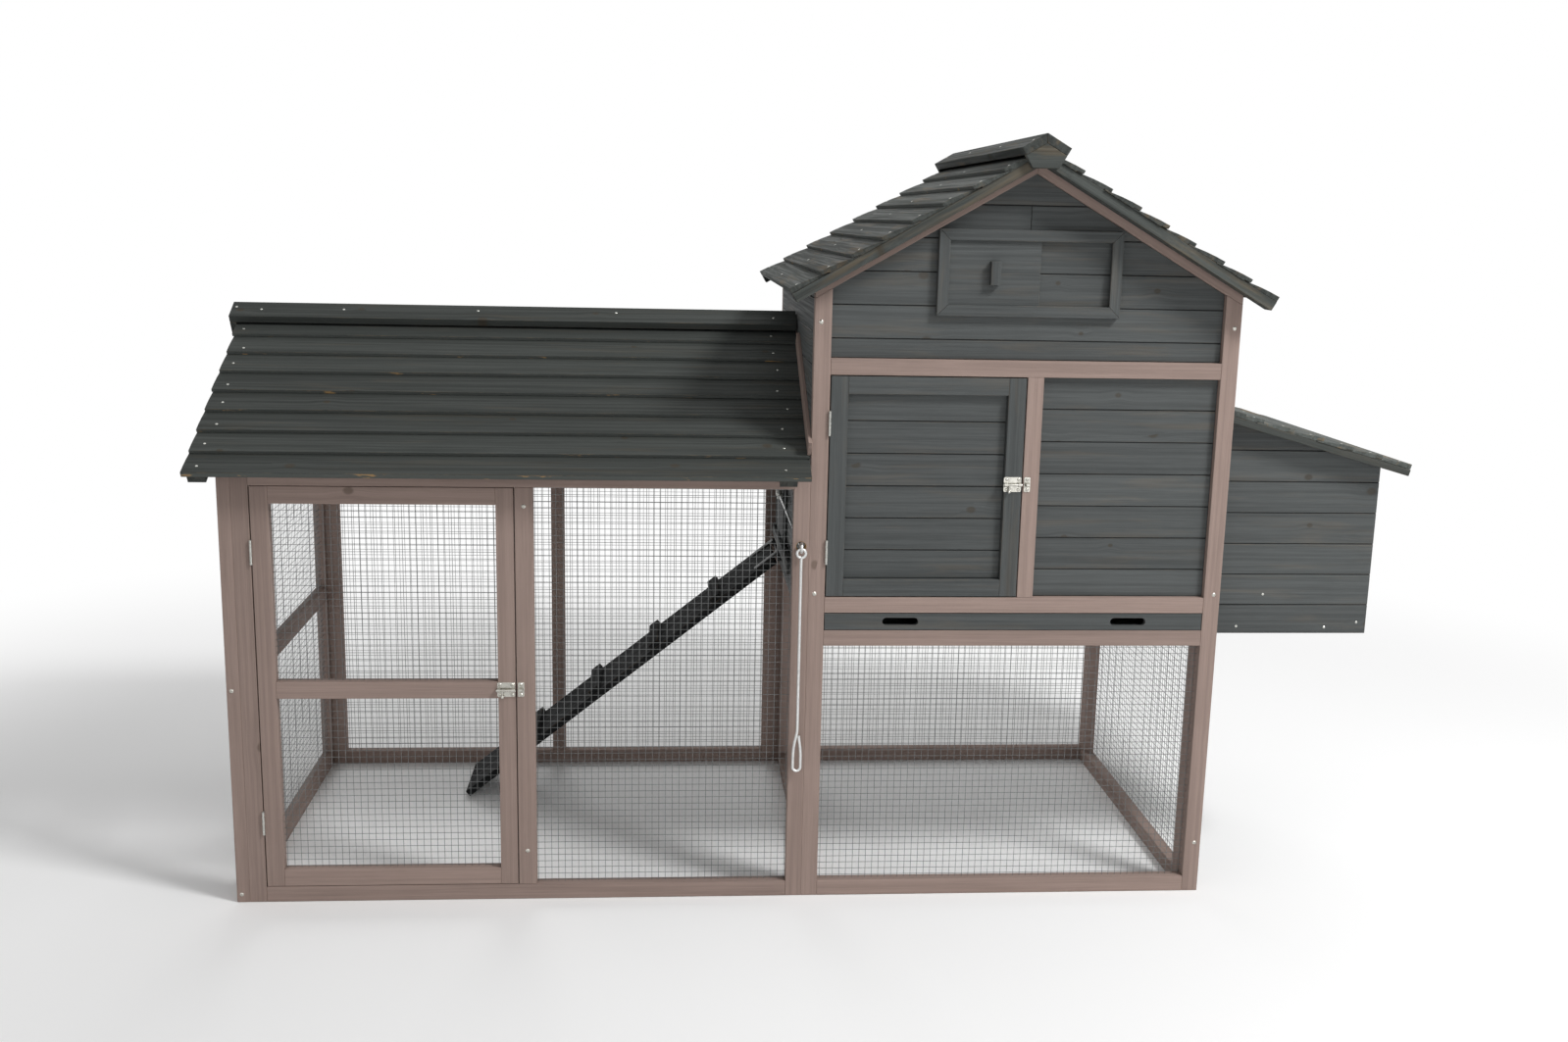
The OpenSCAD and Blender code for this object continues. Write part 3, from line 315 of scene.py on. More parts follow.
def timber_axes(verts):
    """The grain's direction in a solid, and the two directions across it. Edges
    and faces keep their order, so equally large ones give the same choice each run."""
    edges = dict.fromkeys(e for v in verts for e in v.link_edges)
    longest = max(edges, key=lambda e: (round(e.calc_length(), 5), -e.verts[0].co.z))
    along = (longest.verts[1].co - longest.verts[0].co).normalized()
    faces = dict.fromkeys(f for v in verts for f in v.link_faces)
    broad = max(faces, key=lambda f: round(f.calc_area(), 7))
    face = broad.normal - broad.normal.dot(along) * along
    face = face.normalized() if face.length > 1e-4 else along.orthogonal().normalized()
    return along, face.cross(along), face


def bevel(bm, edges, width, segments):
    """Bevels some edges and returns the new faces."""
    made = bmesh.ops.bevel(
        bm, geom=edges, offset=width, offset_type="OFFSET", segments=segments,
        profile=0.5, affect="EDGES", clamp_overlap=True, material=-1,
    )
    return made["faces"]


def ease_edges(bm, width, segments=2):
    """Bevels the sharp edges and returns the new faces."""
    sharp = [e for e in bm.edges if len(e.link_faces) == 2 and e.calc_face_angle(0) > 0.3]
    return bevel(bm, sharp, width, segments)


def round_bar(bm, low, high, length, place, segments):
    """A capped bar about its own Z, with a radius at each end; returns its corners."""
    made = bmesh.ops.create_cone(
        bm, cap_ends=True, segments=segments, radius1=low, radius2=high, depth=length,
        matrix=place,
    )
    return made["verts"]


def mark_grooves(bm, groove, worn):
    """Marks the long narrow faces of boards, which lie in the shade of a joint."""
    for verts in solids(bm):
        along, _, face = timber_axes(verts)
        for f in {f for v in verts for f in v.link_faces}:
            if abs(f.normal.dot(along)) < 0.5 and abs(f.normal.dot(face)) < 0.95:
                f[groove] = 1.0
                f[worn] = 0.0


def sawn_timber(node, material, seed, edge=None, shift=0.0, bare_and_painted_light_from=None,
                grooved=False):
    """A piece that stands for a timber node: each solid gets eased edges, grain
    along its length, a tint of its own and a small shift as hand work has."""
    rng = random.Random(seed)
    bm = merged_copy(node)
    grain = bm.verts.layers.float_vector.new("grain")
    board = bm.verts.layers.float.new("board")
    worn = bm.faces.layers.float.new("worn")
    bare_and_painted_light = bm.faces.layers.float.new("bare_and_painted_light")
    groove = bm.faces.layers.float.new("groove")
    for verts in solids(bm):
        along, across, face = timber_axes(verts)
        bmesh.ops.translate(bm, verts=verts, vec=along * rng.uniform(-shift, shift))
        tint = rng.random()
        lo, hi = extent(verts)
        origin = (lo + hi) / 2
        start = Vector([rng.uniform(0, 9) for _ in range(3)])
        for v in verts:
            p = v.co - origin
            v[grain] = Vector((p.dot(along), p.dot(across), p.dot(face))) + start
            v[board] = tint
    for f in ease_edges(bm, edge or bpy.context.scene.coop_timber.edge):
        f[worn] = 1.0
    bm.normal_update()
    if grooved:
        mark_grooves(bm, groove, worn)
    # The marked faces let bare wood show and are painted lighter in the material, partly as painted
    # light
    if bare_and_painted_light_from is not None:
        for f in bm.faces:
            f[bare_and_painted_light] = bare_and_painted_light_from(f)
    return piece(node + "_wood", bm, body_of(node), material, replaces=[node])


def wire_path(name, runs, diameter, body, material, replaces=()):
    """A piece of bent wire: each run is a list of points on its centreline."""
    curve = bpy.data.curves.new(name, "CURVE")
    curve.dimensions = "3D"
    curve.bevel_depth = diameter / 2
    curve.bevel_resolution = 4
    curve.use_fill_caps = True
    for points in runs:
        spline = curve.splines.new("POLY")
        spline.points.add(len(points) - 1)
        for target, p in zip(spline.points, points):
            target.co = (*p, 1.0)
    holder = bpy.data.objects.new(name + "_line", curve)
    bpy.context.scene.collection.objects.link(holder)
    bpy.context.view_layer.update()
    shaped = bpy.data.meshes.new_from_object(
        holder.evaluated_get(bpy.context.evaluated_depsgraph_get())
    )
    bpy.data.objects.remove(holder)
    bm = bmesh.new()
    bm.from_mesh(shaped)
    bpy.data.meshes.remove(shaped)
    bmesh.ops.remove_doubles(bm, verts=bm.verts[:], dist=1e-5)
    bmesh.ops.recalc_face_normals(bm, faces=bm.faces[:])
    return piece(name, bm, body, material, smooth=True, replaces=replaces)


def arc(centre, u, v, radius, start, end, steps):
    """Points on an arc, its angle from u towards v in degrees."""
    turns = [math.radians(start + (end - start) * i / steps) for i in range(steps + 1)]
    return [centre + radius * (math.cos(a) * u + math.sin(a) * v) for a in turns]


# ---------- shader groups ----------


class Nodes:
    """A short way to add nodes to a tree and to link what feeds them."""

    def __init__(self, tree):
        self.tree = tree

    def feed(self, node, feeds):
        """Links each value to an input of a node, or sets it there if it is plain."""
        for key, value in feeds.items():
            if isinstance(value, bpy.types.NodeSocket):
                self.tree.links.new(value, node.inputs[key])
            else:
                node.inputs[key].default_value = value

    def add(self, kind, feeds=None, **settings):
        node = self.tree.nodes.new("ShaderNode" + kind)
        for key, value in settings.items():
            setattr(node, key, value)
        self.feed(node, feeds or {})
        return node

    def group(self, name, feeds):
        """Places a node group and feeds its inputs."""
        return self.add("Group", feeds, node_tree=bpy.data.node_groups[name]).outputs

    def mark(self, name, output="Fac"):
        """A mark that the maker left on a piece's corners or faces."""
        return self.add("Attribute", attribute_name=name).outputs[output]

    def maths(self, operation, a, b=0.0, c=0.0):
        return self.add("Math", {0: a, 1: b, 2: c}, operation=operation).outputs[0]

    def vector(self, operation, a, b=(0, 0, 0)):
        node = self.add("VectorMath", {0: a, 1: b}, operation=operation)
        return node.outputs["Value" if operation in ("LENGTH", "DOT_PRODUCT") else 0]

    def spread(self, value, low, high, to_low=0.0, to_high=1.0):
        feeds = {"Value": value, "From Min": low, "From Max": high,
                 "To Min": to_low, "To Max": to_high}
        return self.add("MapRange", feeds, interpolation_type="SMOOTHSTEP").outputs[0]

    def mix(self, share, a, b, blend="MIX"):
        node = self.add("Mix", {0: share, 6: a, 7: b}, data_type="RGBA", blend_type=blend)
        return node.outputs[2]

    def dim(self, colour, share):
        """A colour times a grey that changes over the surface."""
        grey = self.add("CombineColor", {0: share, 1: share, 2: share}).outputs[0]
        return self.mix(1.0, colour, grey, "MULTIPLY")

    def cover(self, under, share, amount, over):
        """One colour laid over another, by a share of the surface times an amount."""
        return self.mix(self.maths("MULTIPLY", share, amount), under, over)

    def bump(self, height, distance, strength):
        feeds = {"Height": height, "Distance": distance, "Strength": strength}
        return self.add("Bump", feeds).outputs[0]

    def noise(self, where, scale, detail=3.0, roughness=0.55, distortion=0.0):
        feeds = {"Vector": where, "Scale": scale, "Detail": detail,
                 "Roughness": roughness, "Distortion": distortion}
        return self.add("TexNoise", feeds).outputs["Fac"]


def new_group(name, inputs, outputs):
    """Starts a node group: what adds its nodes, what it is given, and its output."""
    group = bpy.data.node_groups.new(name, "ShaderNodeTree")
    for label, kind, value in inputs:
        socket = group.interface.new_socket(label, in_out="INPUT", socket_type=kind)
        if value is not None:
            socket.default_value = value
    for label, kind in outputs:
        group.interface.new_socket(label, in_out="OUTPUT", socket_type=kind)
    first = group.nodes.new("NodeGroupInput")
    last = group.nodes.new("NodeGroupOutput")
    return Nodes(group), first.outputs, last


def grain_group():
    """Softwood grain: growth bands, fine fibres and knots that bend the bands."""
    n, given, last = new_group(
        "Softwood grain",
        [("Where", "NodeSocketVector", None), ("Knots", "NodeSocketFloat", 0.5)],
        [("Bands", "NodeSocketFloat"), ("Fibre", "NodeSocketFloat"),
         ("Knot", "NodeSocketFloat"), ("Height", "NodeSocketFloat")],
    )
    where, knots = given["Where"], given["Knots"]
    # One knot at most in each cell: how many cells in a metre along and across
    # the grain, and their size in metres
    cells, cell_size = (4.2, 17.0, 0.0), (0.238, 0.0588, 0.0)
    cell = n.vector("MULTIPLY", where, cells)
    spots = n.add("TexVoronoi", {"Vector": cell, "Scale": 1.0, "Randomness": 0.85},
                  feature="F1", voronoi_dimensions="3D")
    apart = n.vector("SUBTRACT", cell, spots.outputs["Position"])
    apart = n.vector("MULTIPLY", apart, cell_size)
    tint = n.add("SeparateXYZ", {0: spots.outputs["Color"]})
    there = n.maths("LESS_THAN", tint.outputs[0], knots)
    size = n.spread(tint.outputs[1], 0.0, 1.0, 0.6, 1.25)
    # A knot is a little longer along the grain than across
    apart = n.vector("MULTIPLY", apart, (0.75, 1.0, 0.0))
    reach = n.maths("DIVIDE", n.vector("LENGTH", apart), size)
    knot = n.maths("MULTIPLY", n.spread(reach, 0.0075, 0.0035), there)
    pull = n.maths("MULTIPLY", n.spread(reach, 0.034, 0.004), there)
    ring = n.maths("SINE", n.maths("MULTIPLY", reach, 3300.0))
    # The bands and fibres bend round a knot
    bent = n.add("CombineXYZ", {1: n.maths("MULTIPLY", pull, 0.004)}).outputs[0]
    lines = n.vector("ADD", where, bent)
    wide = n.vector("MULTIPLY", lines, (2.0, 150.0, 80.0))
    bands = n.noise(wide, 1.0, 4.0, 0.6, 0.35)
    thin = n.vector("MULTIPLY", lines, (14.0, 900.0, 900.0))
    fibre = n.noise(thin, 1.0, 2.0, 0.65)
    bands = n.spread(bands, 0.32, 0.68)
    around = n.maths("MULTIPLY", n.maths("MULTIPLY", ring, pull), 0.12)
    bands = n.maths("ADD", bands, around)
    height = n.maths("MULTIPLY_ADD", fibre, 0.6, n.maths("MULTIPLY", bands, 0.4))
    height = n.maths("SUBTRACT", height, n.maths("MULTIPLY", knot, 0.5))
    n.feed(last, {"Bands": bands, "Fibre": fibre, "Knot": knot, "Height": height})


def wear_group():
    """Where paint is rubbed off edges, and where bare wood shows on raw faces."""
    n, given, last = new_group(
        "Worn paint",
        [("Where", "NodeSocketVector", None), ("Edge", "NodeSocketFloat", 0.0),
         ("Raw", "NodeSocketFloat", 0.0), ("Bare", "NodeSocketFloat", 0.5)],
        [("Edge wear", "NodeSocketFloat"), ("Bare wood", "NodeSocketFloat"),
         ("Dust", "NodeSocketFloat")],
    )
    where = given["Where"]
    patch = n.noise(n.vector("MULTIPLY", where, (14.0, 60.0, 60.0)), 1.0, 3.0, 0.6)
    fine = n.noise(n.vector("MULTIPLY", where, (60.0, 400.0, 400.0)), 1.0, 2.0, 0.6)
    rub = n.maths("MULTIPLY", n.spread(patch, 0.42, 0.66), n.spread(fine, 0.3, 0.6))
    edge = n.maths("MULTIPLY", rub, given["Edge"])
    limit = n.maths("SUBTRACT", 1.0, given["Bare"])
    above = n.maths("SUBTRACT", n.maths("MULTIPLY_ADD", fine, 0.25, patch), limit)
    bare = n.maths("MULTIPLY", n.spread(above, 0.08, 0.16), given["Raw"])
    dust = n.spread(n.noise(where, 5.0, 4.0, 0.6), 0.3, 0.75)
    n.feed(last, {"Edge wear": edge, "Bare wood": bare, "Dust": dust})


def metal_group():
    """Spangle and dull patches of zinc, as a change of colour and of roughness."""
    n, given, last = new_group(
        "Zinc coat",
        [("Where", "NodeSocketVector", None), ("Scale", "NodeSocketFloat", 300.0)],
        [("Tone", "NodeSocketFloat"), ("Dull", "NodeSocketFloat"), ("Height", "NodeSocketFloat")],
    )
    where, scale = given["Where"], given["Scale"]
    flakes = n.add("TexVoronoi", {"Vector": where, "Scale": scale})
    tone = n.add("SeparateXYZ", {0: flakes.outputs["Color"]}).outputs[0]
    dull = n.spread(n.noise(where, 90.0, 3.0, 0.6), 0.35, 0.7)
    height = n.noise(where, 1500.0, 2.0, 0.6)
    n.feed(last, {"Tone": tone, "Dull": dull, "Height": height})


# ---------- materials ----------


def new_material(name):
    """A node material, with what adds its nodes and its shader."""
    material = bpy.data.materials.new(name)
    material.use_nodes = True
    n = Nodes(material.node_tree)
    shader = material.node_tree.nodes["Principled BSDF"]
    return material, n, shader


def shade(colour, share=1.0):
    """A colour made lighter or darker, as the four values that a node takes."""
    return (*(min(1.0, c * share) for c in colour[:3]), 1.0)


def timber_material(name, colour, contrast=0.16, knots=0.25, bare=0.45, rough=(0.5, 0.72),
                    tint=0.12, edge=1.0, weather=0.0, relief=0.00035):
    """Stained or painted softwood: the stain with its grain, knots and wear."""
    raw_wood = bpy.context.scene.coop_timber.raw_colour
    material, n, shader = new_material(name)
    where = n.mark("grain", "Vector")
    bare_and_painted_light = n.mark("bare_and_painted_light")
    grain = n.group("Softwood grain", {"Where": where, "Knots": knots})
    wear = n.group("Worn paint", {"Where": where, "Edge": n.mark("worn"), "Raw": bare_and_painted_light, "Bare": bare})
    body = n.mix(grain["Bands"], shade(colour, 1 + contrast * 0.8), shade(colour, 1 - contrast))
    body = n.dim(body, n.spread(grain["Fibre"], 0.3, 0.7, 1 - contrast * 0.6, 1 + contrast * 0.6))
    body = n.dim(body, n.spread(n.mark("board"), 0.0, 1.0, 1 - tint, 1 + tint))
    if weather:
        streak = n.noise(n.vector("MULTIPLY", where, (4.0, 42.0, 42.0)), 1.0, 4.0, 0.6, 0.4)
        aged = n.mix(0.55, shade(colour), shade(raw_wood))
        body = n.cover(body, n.spread(streak, 0.52, 0.72), weather, aged)
    body = n.cover(body, grain["Knot"], 0.7, n.mix(0.25, shade(colour, 0.4), shade(raw_wood, 0.3)))
    body = n.cover(body, wear["Dust"], 0.10, shade(colour, 1.7))
    rubbed = n.mix(0.4, shade(colour, 1.5), shade(raw_wood))
    body = n.cover(body, wear["Edge wear"], 0.3 * edge, rubbed)
    # The marked faces are painted 2.4 times lighter: partly worn stain, partly painted light
    # standing in for light from the front on the lower edges of roof boards
    body = n.cover(body, bare_and_painted_light, 0.6, shade(colour, 2.4))
    wood = n.mix(grain["Fibre"], shade(raw_wood, 1.15), shade(raw_wood, 0.6))
    body = n.mix(wear["Bare wood"], body, wood)
    # Groove faces are painted nearly black: painted shade in the joints between boards
    body = n.cover(body, n.mark("groove"), 0.72, shade(colour, 0.12))
    gloss = n.spread(grain["Bands"], 0.0, 1.0, rough[0], rough[1])
    gloss = n.maths("MAXIMUM", gloss, n.maths("MULTIPLY", wear["Bare wood"], 0.85))
    n.feed(shader, {
        "Base Color": body, "Roughness": gloss, "Normal": n.bump(grain["Height"], relief, 0.8),
        "Specular IOR Level": 0.15,
    })
    return material


def metal_material(name, colour, rough, scale=300.0, contrast=0.12, metallic=1.0):
    """Zinc, steel or its paint, with spangle and dull patches."""
    material, n, shader = new_material(name)
    where = n.add("TexCoord").outputs["Object"]
    coat = n.group("Zinc coat", {"Where": where, "Scale": scale})
    tone = n.mix(coat["Tone"], shade(colour, 1 - contrast), shade(colour, 1 + contrast))
    tone = n.cover(tone, coat["Dull"], 0.35, shade(colour, 0.62))
    n.feed(shader, {
        "Base Color": tone, "Roughness": n.spread(coat["Dull"], 0.0, 1.0, rough[0], rough[1]),
        "Normal": n.bump(coat["Height"], 0.00004, 0.6), "Metallic": metallic,
    })
    return material


FINISHES = {}


class COOP_OT_finishes(bpy.types.Operator):
    """Mixes the paints, stains and metal coats that the pieces use"""

    bl_idname = "coop.finishes"
    bl_label = "Finishes"

    def execute(self, context):
        t = context.scene.coop_timber
        grain_group()
        wear_group()
        metal_group()
        FINISHES["frame"] = timber_material(
            "Frame paint", t.frame_colour, contrast=0.10, knots=0.05, bare=1.0,
            rough=(0.55, 0.75), tint=0.07, edge=0.5)
        FINISHES["board"] = timber_material(
            "Board stain", t.board_colour, contrast=0.14, knots=0.42, bare=0.2, tint=0.09,
            weather=0.10)
        FINISHES["joinery"] = timber_material(
            "Joinery stain", shade(t.board_colour, 0.93), contrast=0.15, knots=0.04, bare=0.1,
            tint=0.05, weather=0.08)
        FINISHES["roof"] = timber_material(
            "Roof stain", t.roof_colour, contrast=0.16, knots=0.25, bare=0.31,
            rough=(0.55, 0.8), tint=0.09, weather=0.06)
        FINISHES["weathered roof"] = timber_material(
            "Weathered roof stain", shade(t.roof_colour, 1.1), contrast=0.26, knots=0.2,
            bare=0.3, rough=(0.6, 0.85), tint=0.18, weather=0.22, relief=0.0006)
        FINISHES["lid"] = timber_material(
            "Lid stain", shade(t.roof_colour, 1.8), contrast=0.24, knots=0.2, bare=0.8,
            rough=(0.6, 0.85), tint=0.16, weather=0.8, relief=0.0005)
        FINISHES["ramp"] = timber_material(
            "Ramp stain", t.ramp_colour, contrast=0.22, knots=0.2, bare=0.2,
            rough=(0.7, 0.88), tint=0.10)
        FINISHES["bare wood"] = timber_material(
            "Bare softwood", t.raw_colour, contrast=0.22, knots=0.2, bare=0.0,
            rough=(0.55, 0.75), tint=0.05)
        FINISHES["zinc"] = metal_material("Zinc plate", srgb(196, 196, 190), (0.26, 0.46))
        FINISHES["nickel"] = metal_material(
            "Nickel plate", srgb(196, 194, 186), (0.2, 0.36), scale=900.0, contrast=0.05)
        FINISHES["rod"] = metal_material(
            "Drawn steel", srgb(226, 227, 226), (0.3, 0.46), scale=600.0, contrast=0.05)
        FINISHES["netting"] = metal_material(
            "Galvanised wire", srgb(126, 128, 128), (0.42, 0.6), scale=700.0, contrast=0.10)
        FINISHES["tray"] = metal_material(
            "Galvanised sheet", srgb(176, 180, 182), (0.32, 0.5), scale=60.0, contrast=0.10)
        # The ramp's hooks and hanger are coloured near black: painted shade, as the ramp's top end
        # lies in shadow
        FINISHES["steel in painted shade"] = metal_material(
            "Steel darkened as painted shade", srgb(38, 38, 39), (0.38, 0.56), scale=900.0,
            contrast=0.2, metallic=0.0)
        return {"FINISHED"}


# ---------- timber ----------


def faces_down_slope(pitch, sides):
    """A test for the lower edges of roof boards, where bare wood shows and which are painted
    lighter: partly worn stain, partly painted light standing in for light from the front.
    """
    slopes = [Vector((x * math.cos(pitch), y * math.cos(pitch), -math.sin(pitch)))
              for x, y in sides]

    def test(face):
        return 1.0 if max(face.normal.dot(s) for s in slopes) > 0.93 else 0.0

    return test


def faces_of_bore():
    """A test for the faces of the pull rod's hole, where bare wood shows."""
    lo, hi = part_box("pull_rod")
    axis_z = (lo.z + hi.z) / 2
    lo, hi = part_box("pull_handle")
    axis_x = (lo.x + hi.x) / 2

    def test(face):
        centre = face.calc_center_median()
        reach = math.hypot(centre.x - axis_x, centre.z - axis_z)
        return 1.0 if reach < 0.0098 and face.calc_area() < 3e-4 else 0.0

    return test


class COOP_OT_frame_timber(bpy.types.Operator):
    """Makes the painted posts, rails and rafters, and the perch"""

    bl_idname = "coop.frame_timber"
    bl_label = "Frame timber"

    def execute(self, context):
        for i, node in enumerate(FRAME_TIMBER):
            test = faces_of_bore() if node == "run_front_frame" else None
            sawn_timber(node, FINISHES["frame"], 100 + i, bare_and_painted_light_from=test)
        sawn_timber("perches", FINISHES["bare wood"], 131, edge=0.003)
        return {"FINISHED"}


class COOP_OT_wall_boards(bpy.types.Operator):
    """Makes the stained wall boards and the nest box's walls"""

    bl_idname = "coop.wall_boards"
    bl_label = "Wall boards"

    def execute(self, context):
        for i, node in enumerate(WALL_BOARDS):
            sawn_timber(node, FINISHES["board"], 200 + i, edge=0.0006,
                        grooved=True)
        return {"FINISHED"}


class COOP_OT_joinery(bpy.types.Operator):
    """Makes the house's door, the vent, the tray's front and the sliding door"""

    bl_idname = "coop.joinery"
    bl_label = "Doors, vent and tray front"

    def execute(self, context):
        for i, node in enumerate(JOINERY):
            sawn_timber(node, FINISHES["joinery"], 300 + i, edge=0.0007,
                        grooved=node == "house_door_boards")
        return {"FINISHED"}


class COOP_OT_roofs(bpy.types.Operator):
    """Makes the lapped roof boards, their battens and the ridge caps"""

    bl_idname = "coop.roofs"
    bl_label = "Roofs"

    def execute(self, context):
        kinds = (
            (RUN_ROOF, "roof", "roof", 400, 0.0015, ROOF_PITCH, [(0, -1), (0, 1)]),
            (HOUSE_ROOF, "weathered roof", "weathered roof", 420, 0.004, ROOF_PITCH,
             [(-1, 0), (1, 0)]),
            (NEST_LID, "lid", "roof", 440, 0.003, LID_PITCH, [(1, 0)]),
        )
        for nodes, boards, others, seed, shift, pitch, sides in kinds:
            sawn_timber(nodes[0], FINISHES[boards], seed, shift=shift,
                        bare_and_painted_light_from=faces_down_slope(pitch, sides))
            for i, node in enumerate(nodes[1:], 1):
                sawn_timber(node, FINISHES[others], seed + i)
        return {"FINISHED"}


class COOP_OT_ramp(bpy.types.Operator):
    """Makes the ramp and its cleats"""

    bl_idname = "coop.ramp"
    bl_label = "Ramp"

    def execute(self, context):
        for i, node in enumerate(("ramp_board", "ramp_cleats")):
            sawn_timber(node, FINISHES["ramp"], 501 + i, edge=0.0015)
        return {"FINISHED"}


# ---------- netting ----------


def sheet_waves(point, seed, lo, hi):
    """How far a sheet of netting leaves its plane here, none at its edges."""
    size = hi - lo
    share = [(point[i] - lo[i]) / max(size[i], 1e-6) for i in range(3)]
    flat = 0 if size.x > size.y else 1
    hold = math.sin(math.pi * share[flat]) * math.sin(math.pi * share[2])
    wave = math.sin(7.1 * point[flat] + seed) * math.cos(9.3 * point.z + 2 * seed)
    wave += 0.5 * math.sin(17.0 * point[flat] - seed) * math.sin(13.0 * point.z + seed)
    return max(hold, 0.0) ** 0.4 * wave


class COOP_OT_netting(bpy.types.Operator):
    """Makes the square welded netting, each wire on its own"""

    bl_idname = "coop.netting"
    bl_label = "Netting"

    def execute(self, context):
        s = context.scene.coop_netting
        for i, node in enumerate(NETS):
            bm = bmesh.new()
            for j, (lo, hi) in enumerate(solid_boxes(node)):
                self.sheet(bm, lo, hi, s, 1.7 * i + j)
            piece(node + "_wires", bm, body_of(node), FINISHES["netting"],
                  smooth=True, replaces=[node])
        return {"FINISHED"}

    def sheet(self, bm, lo, hi, s, seed):
        """One sheet: upright wires in front, level ones welded behind them."""
        size = hi - lo
        flat = 0 if size.x > size.y else 1
        deep = 1 - flat
        middle = (lo[deep] + hi[deep]) / 2
        # Where the wires cross, they are sunk into each other by their weld
        weld = 0.42
        turns = {0: Matrix.Rotation(math.pi / 2, 4, "Y"),
                 1: Matrix.Rotation(math.pi / 2, 4, "X"), 2: Matrix.Identity(4)}
        made = []
        for axis, side in ((2, -1), (flat, 1)):
            across = flat if axis == 2 else 2
            count = int((size[across] - s.wire) / s.pitch)
            start = lo[across] + (size[across] - count * s.pitch) / 2
            for k in range(count + 1):
                centre = (lo + hi) / 2
                centre[across] = start + k * s.pitch
                centre[deep] = middle + side * s.wire * weld
                made += round_bar(bm, s.wire / 2, s.wire / 2, size[axis],
                                  Matrix.Translation(centre) @ turns[axis], 5)
        long_edges = {e for v in made for e in v.link_edges if e.calc_length() > 4 * s.wire}
        bmesh.ops.subdivide_edges(
            bm, edges=sorted(long_edges, key=lambda e: e.index), cuts=9, use_grid_fill=False)
        inside = [v for v in bm.verts
                  if all(lo[i] - 0.001 < v.co[i] < hi[i] + 0.001 for i in range(3))]
        for v in inside:
            v.co[deep] += s.bulge * sheet_waves(v.co, seed, lo, hi)
            v.co[flat] += 0.3 * s.bulge * sheet_waves(v.co, seed + 2.0, lo, hi)


# ---------- ironmongery ----------


def round_plate(bm, lo, hi, corner, edge):
    """A stamped plate whose broad face is square to Y, with round corners."""
    middle = (lo + hi) / 2
    verts = bmesh.ops.create_cube(bm, size=1.0, matrix=Matrix.Translation(middle))["verts"]
    bmesh.ops.scale(bm, vec=hi - lo, verts=verts, space=Matrix.Translation(-middle))
    edges = {e for v in verts for e in v.link_edges}
    bevel(bm, [e for e in edges if abs((e.verts[0].co - e.verts[1].co).normalized().y) > 0.9],
          corner, 4)
    slack = 1e-5
    rim = []
    for f in bm.faces:
        c = f.calc_center_median()
        inside = all(lo[i] - slack <= c[i] <= hi[i] + slack for i in (0, 2))
        if f.normal.y < -0.9 and abs(c.y - lo.y) < slack and inside:
            rim += f.edges
    bevel(bm, rim, edge, 1)


def strap(bm, x0, axis_y, axis_z, foot_y):
    """A pressed strap over the bolt: half a ring with two straight legs."""
    x1 = x0 + STRAP_WIDTH
    outer = STRAP_BORE + STRAP_THICK
    corners = [Vector((x, axis_y, axis_z + r)) for x, r in
               ((x0, STRAP_BORE), (x1, STRAP_BORE), (x1, outer), (x0, outer))]
    face = bm.faces.new([bm.verts.new(c) for c in corners])
    start = bmesh.ops.duplicate(bm, geom=[face])
    first = [g for g in start["geom"] if isinstance(g, bmesh.types.BMFace)][0]
    turned = bmesh.ops.spin(
        bm, geom=[face, *face.edges, *face.verts], cent=(x0, axis_y, axis_z),
        axis=(1, 0, 0), dvec=(0, 0, 0), angle=math.pi, steps=12, use_duplicate=False)
    ends = [g for g in turned["geom_last"] if isinstance(g, bmesh.types.BMFace)]
    for end in [first, *ends]:
        leg = bmesh.ops.extrude_face_region(bm, geom=[end])
        verts = [g for g in leg["geom"] if isinstance(g, bmesh.types.BMVert)]
        bmesh.ops.translate(bm, verts=verts, vec=(0, foot_y - axis_y, 0))


def screw_head(diameter, height):
    """The mesh of a domed head with a cross recess, its underside at Z = 0."""
    bm = bmesh.new()
    r = diameter / 2
    round_bar(bm, r, r * 0.62, height, Matrix.Translation((0, 0, height / 2)), 20)
    rim = [e for e in bm.edges if all(abs(v.co.z - height) < 1e-6 for v in e.verts)]
    bevel(bm, rim, height * 0.4, 2)

    def crown():
        return [f for f in bm.faces
                if f.normal.z > 0.99 and f.calc_center_median().z > height * 0.9]

    slot = r * 0.11
    reach = r * 0.46
    for normal in (Vector((1, 0, 0)), BACK):
        for place in (-reach, -slot, slot, reach):
            top = crown()
            geom = top + [e for f in top for e in f.edges] + [v for f in top for v in f.verts]
            bmesh.ops.bisect_plane(bm, geom=list(dict.fromkeys(geom)), dist=1e-7,
                                   plane_co=normal * place, plane_no=normal)
    cross = []
    for f in crown():
        near, far = sorted(abs(c) for c in f.calc_center_median().xy)
        if near < slot and far < reach:
            cross.append(f)
    sunk = bmesh.ops.extrude_face_region(bm, geom=cross)
    verts = [g for g in sunk["geom"] if isinstance(g, bmesh.types.BMVert)]
    bmesh.ops.translate(bm, verts=verts, vec=(0, 0, -height * 0.6))
    bmesh.ops.delete(bm, geom=cross, context="FACES_ONLY")
    return as_mesh("screw_head_shape", bm)


def nail_head(diameter, height):
    """The mesh of a flat nail head with a slight crown."""
    bm = bmesh.new()
    round_bar(bm, diameter / 2, diameter * 0.36, height,
              Matrix.Translation((0, 0, height / 2)), 12)
    return as_mesh("nail_head_shape", bm)


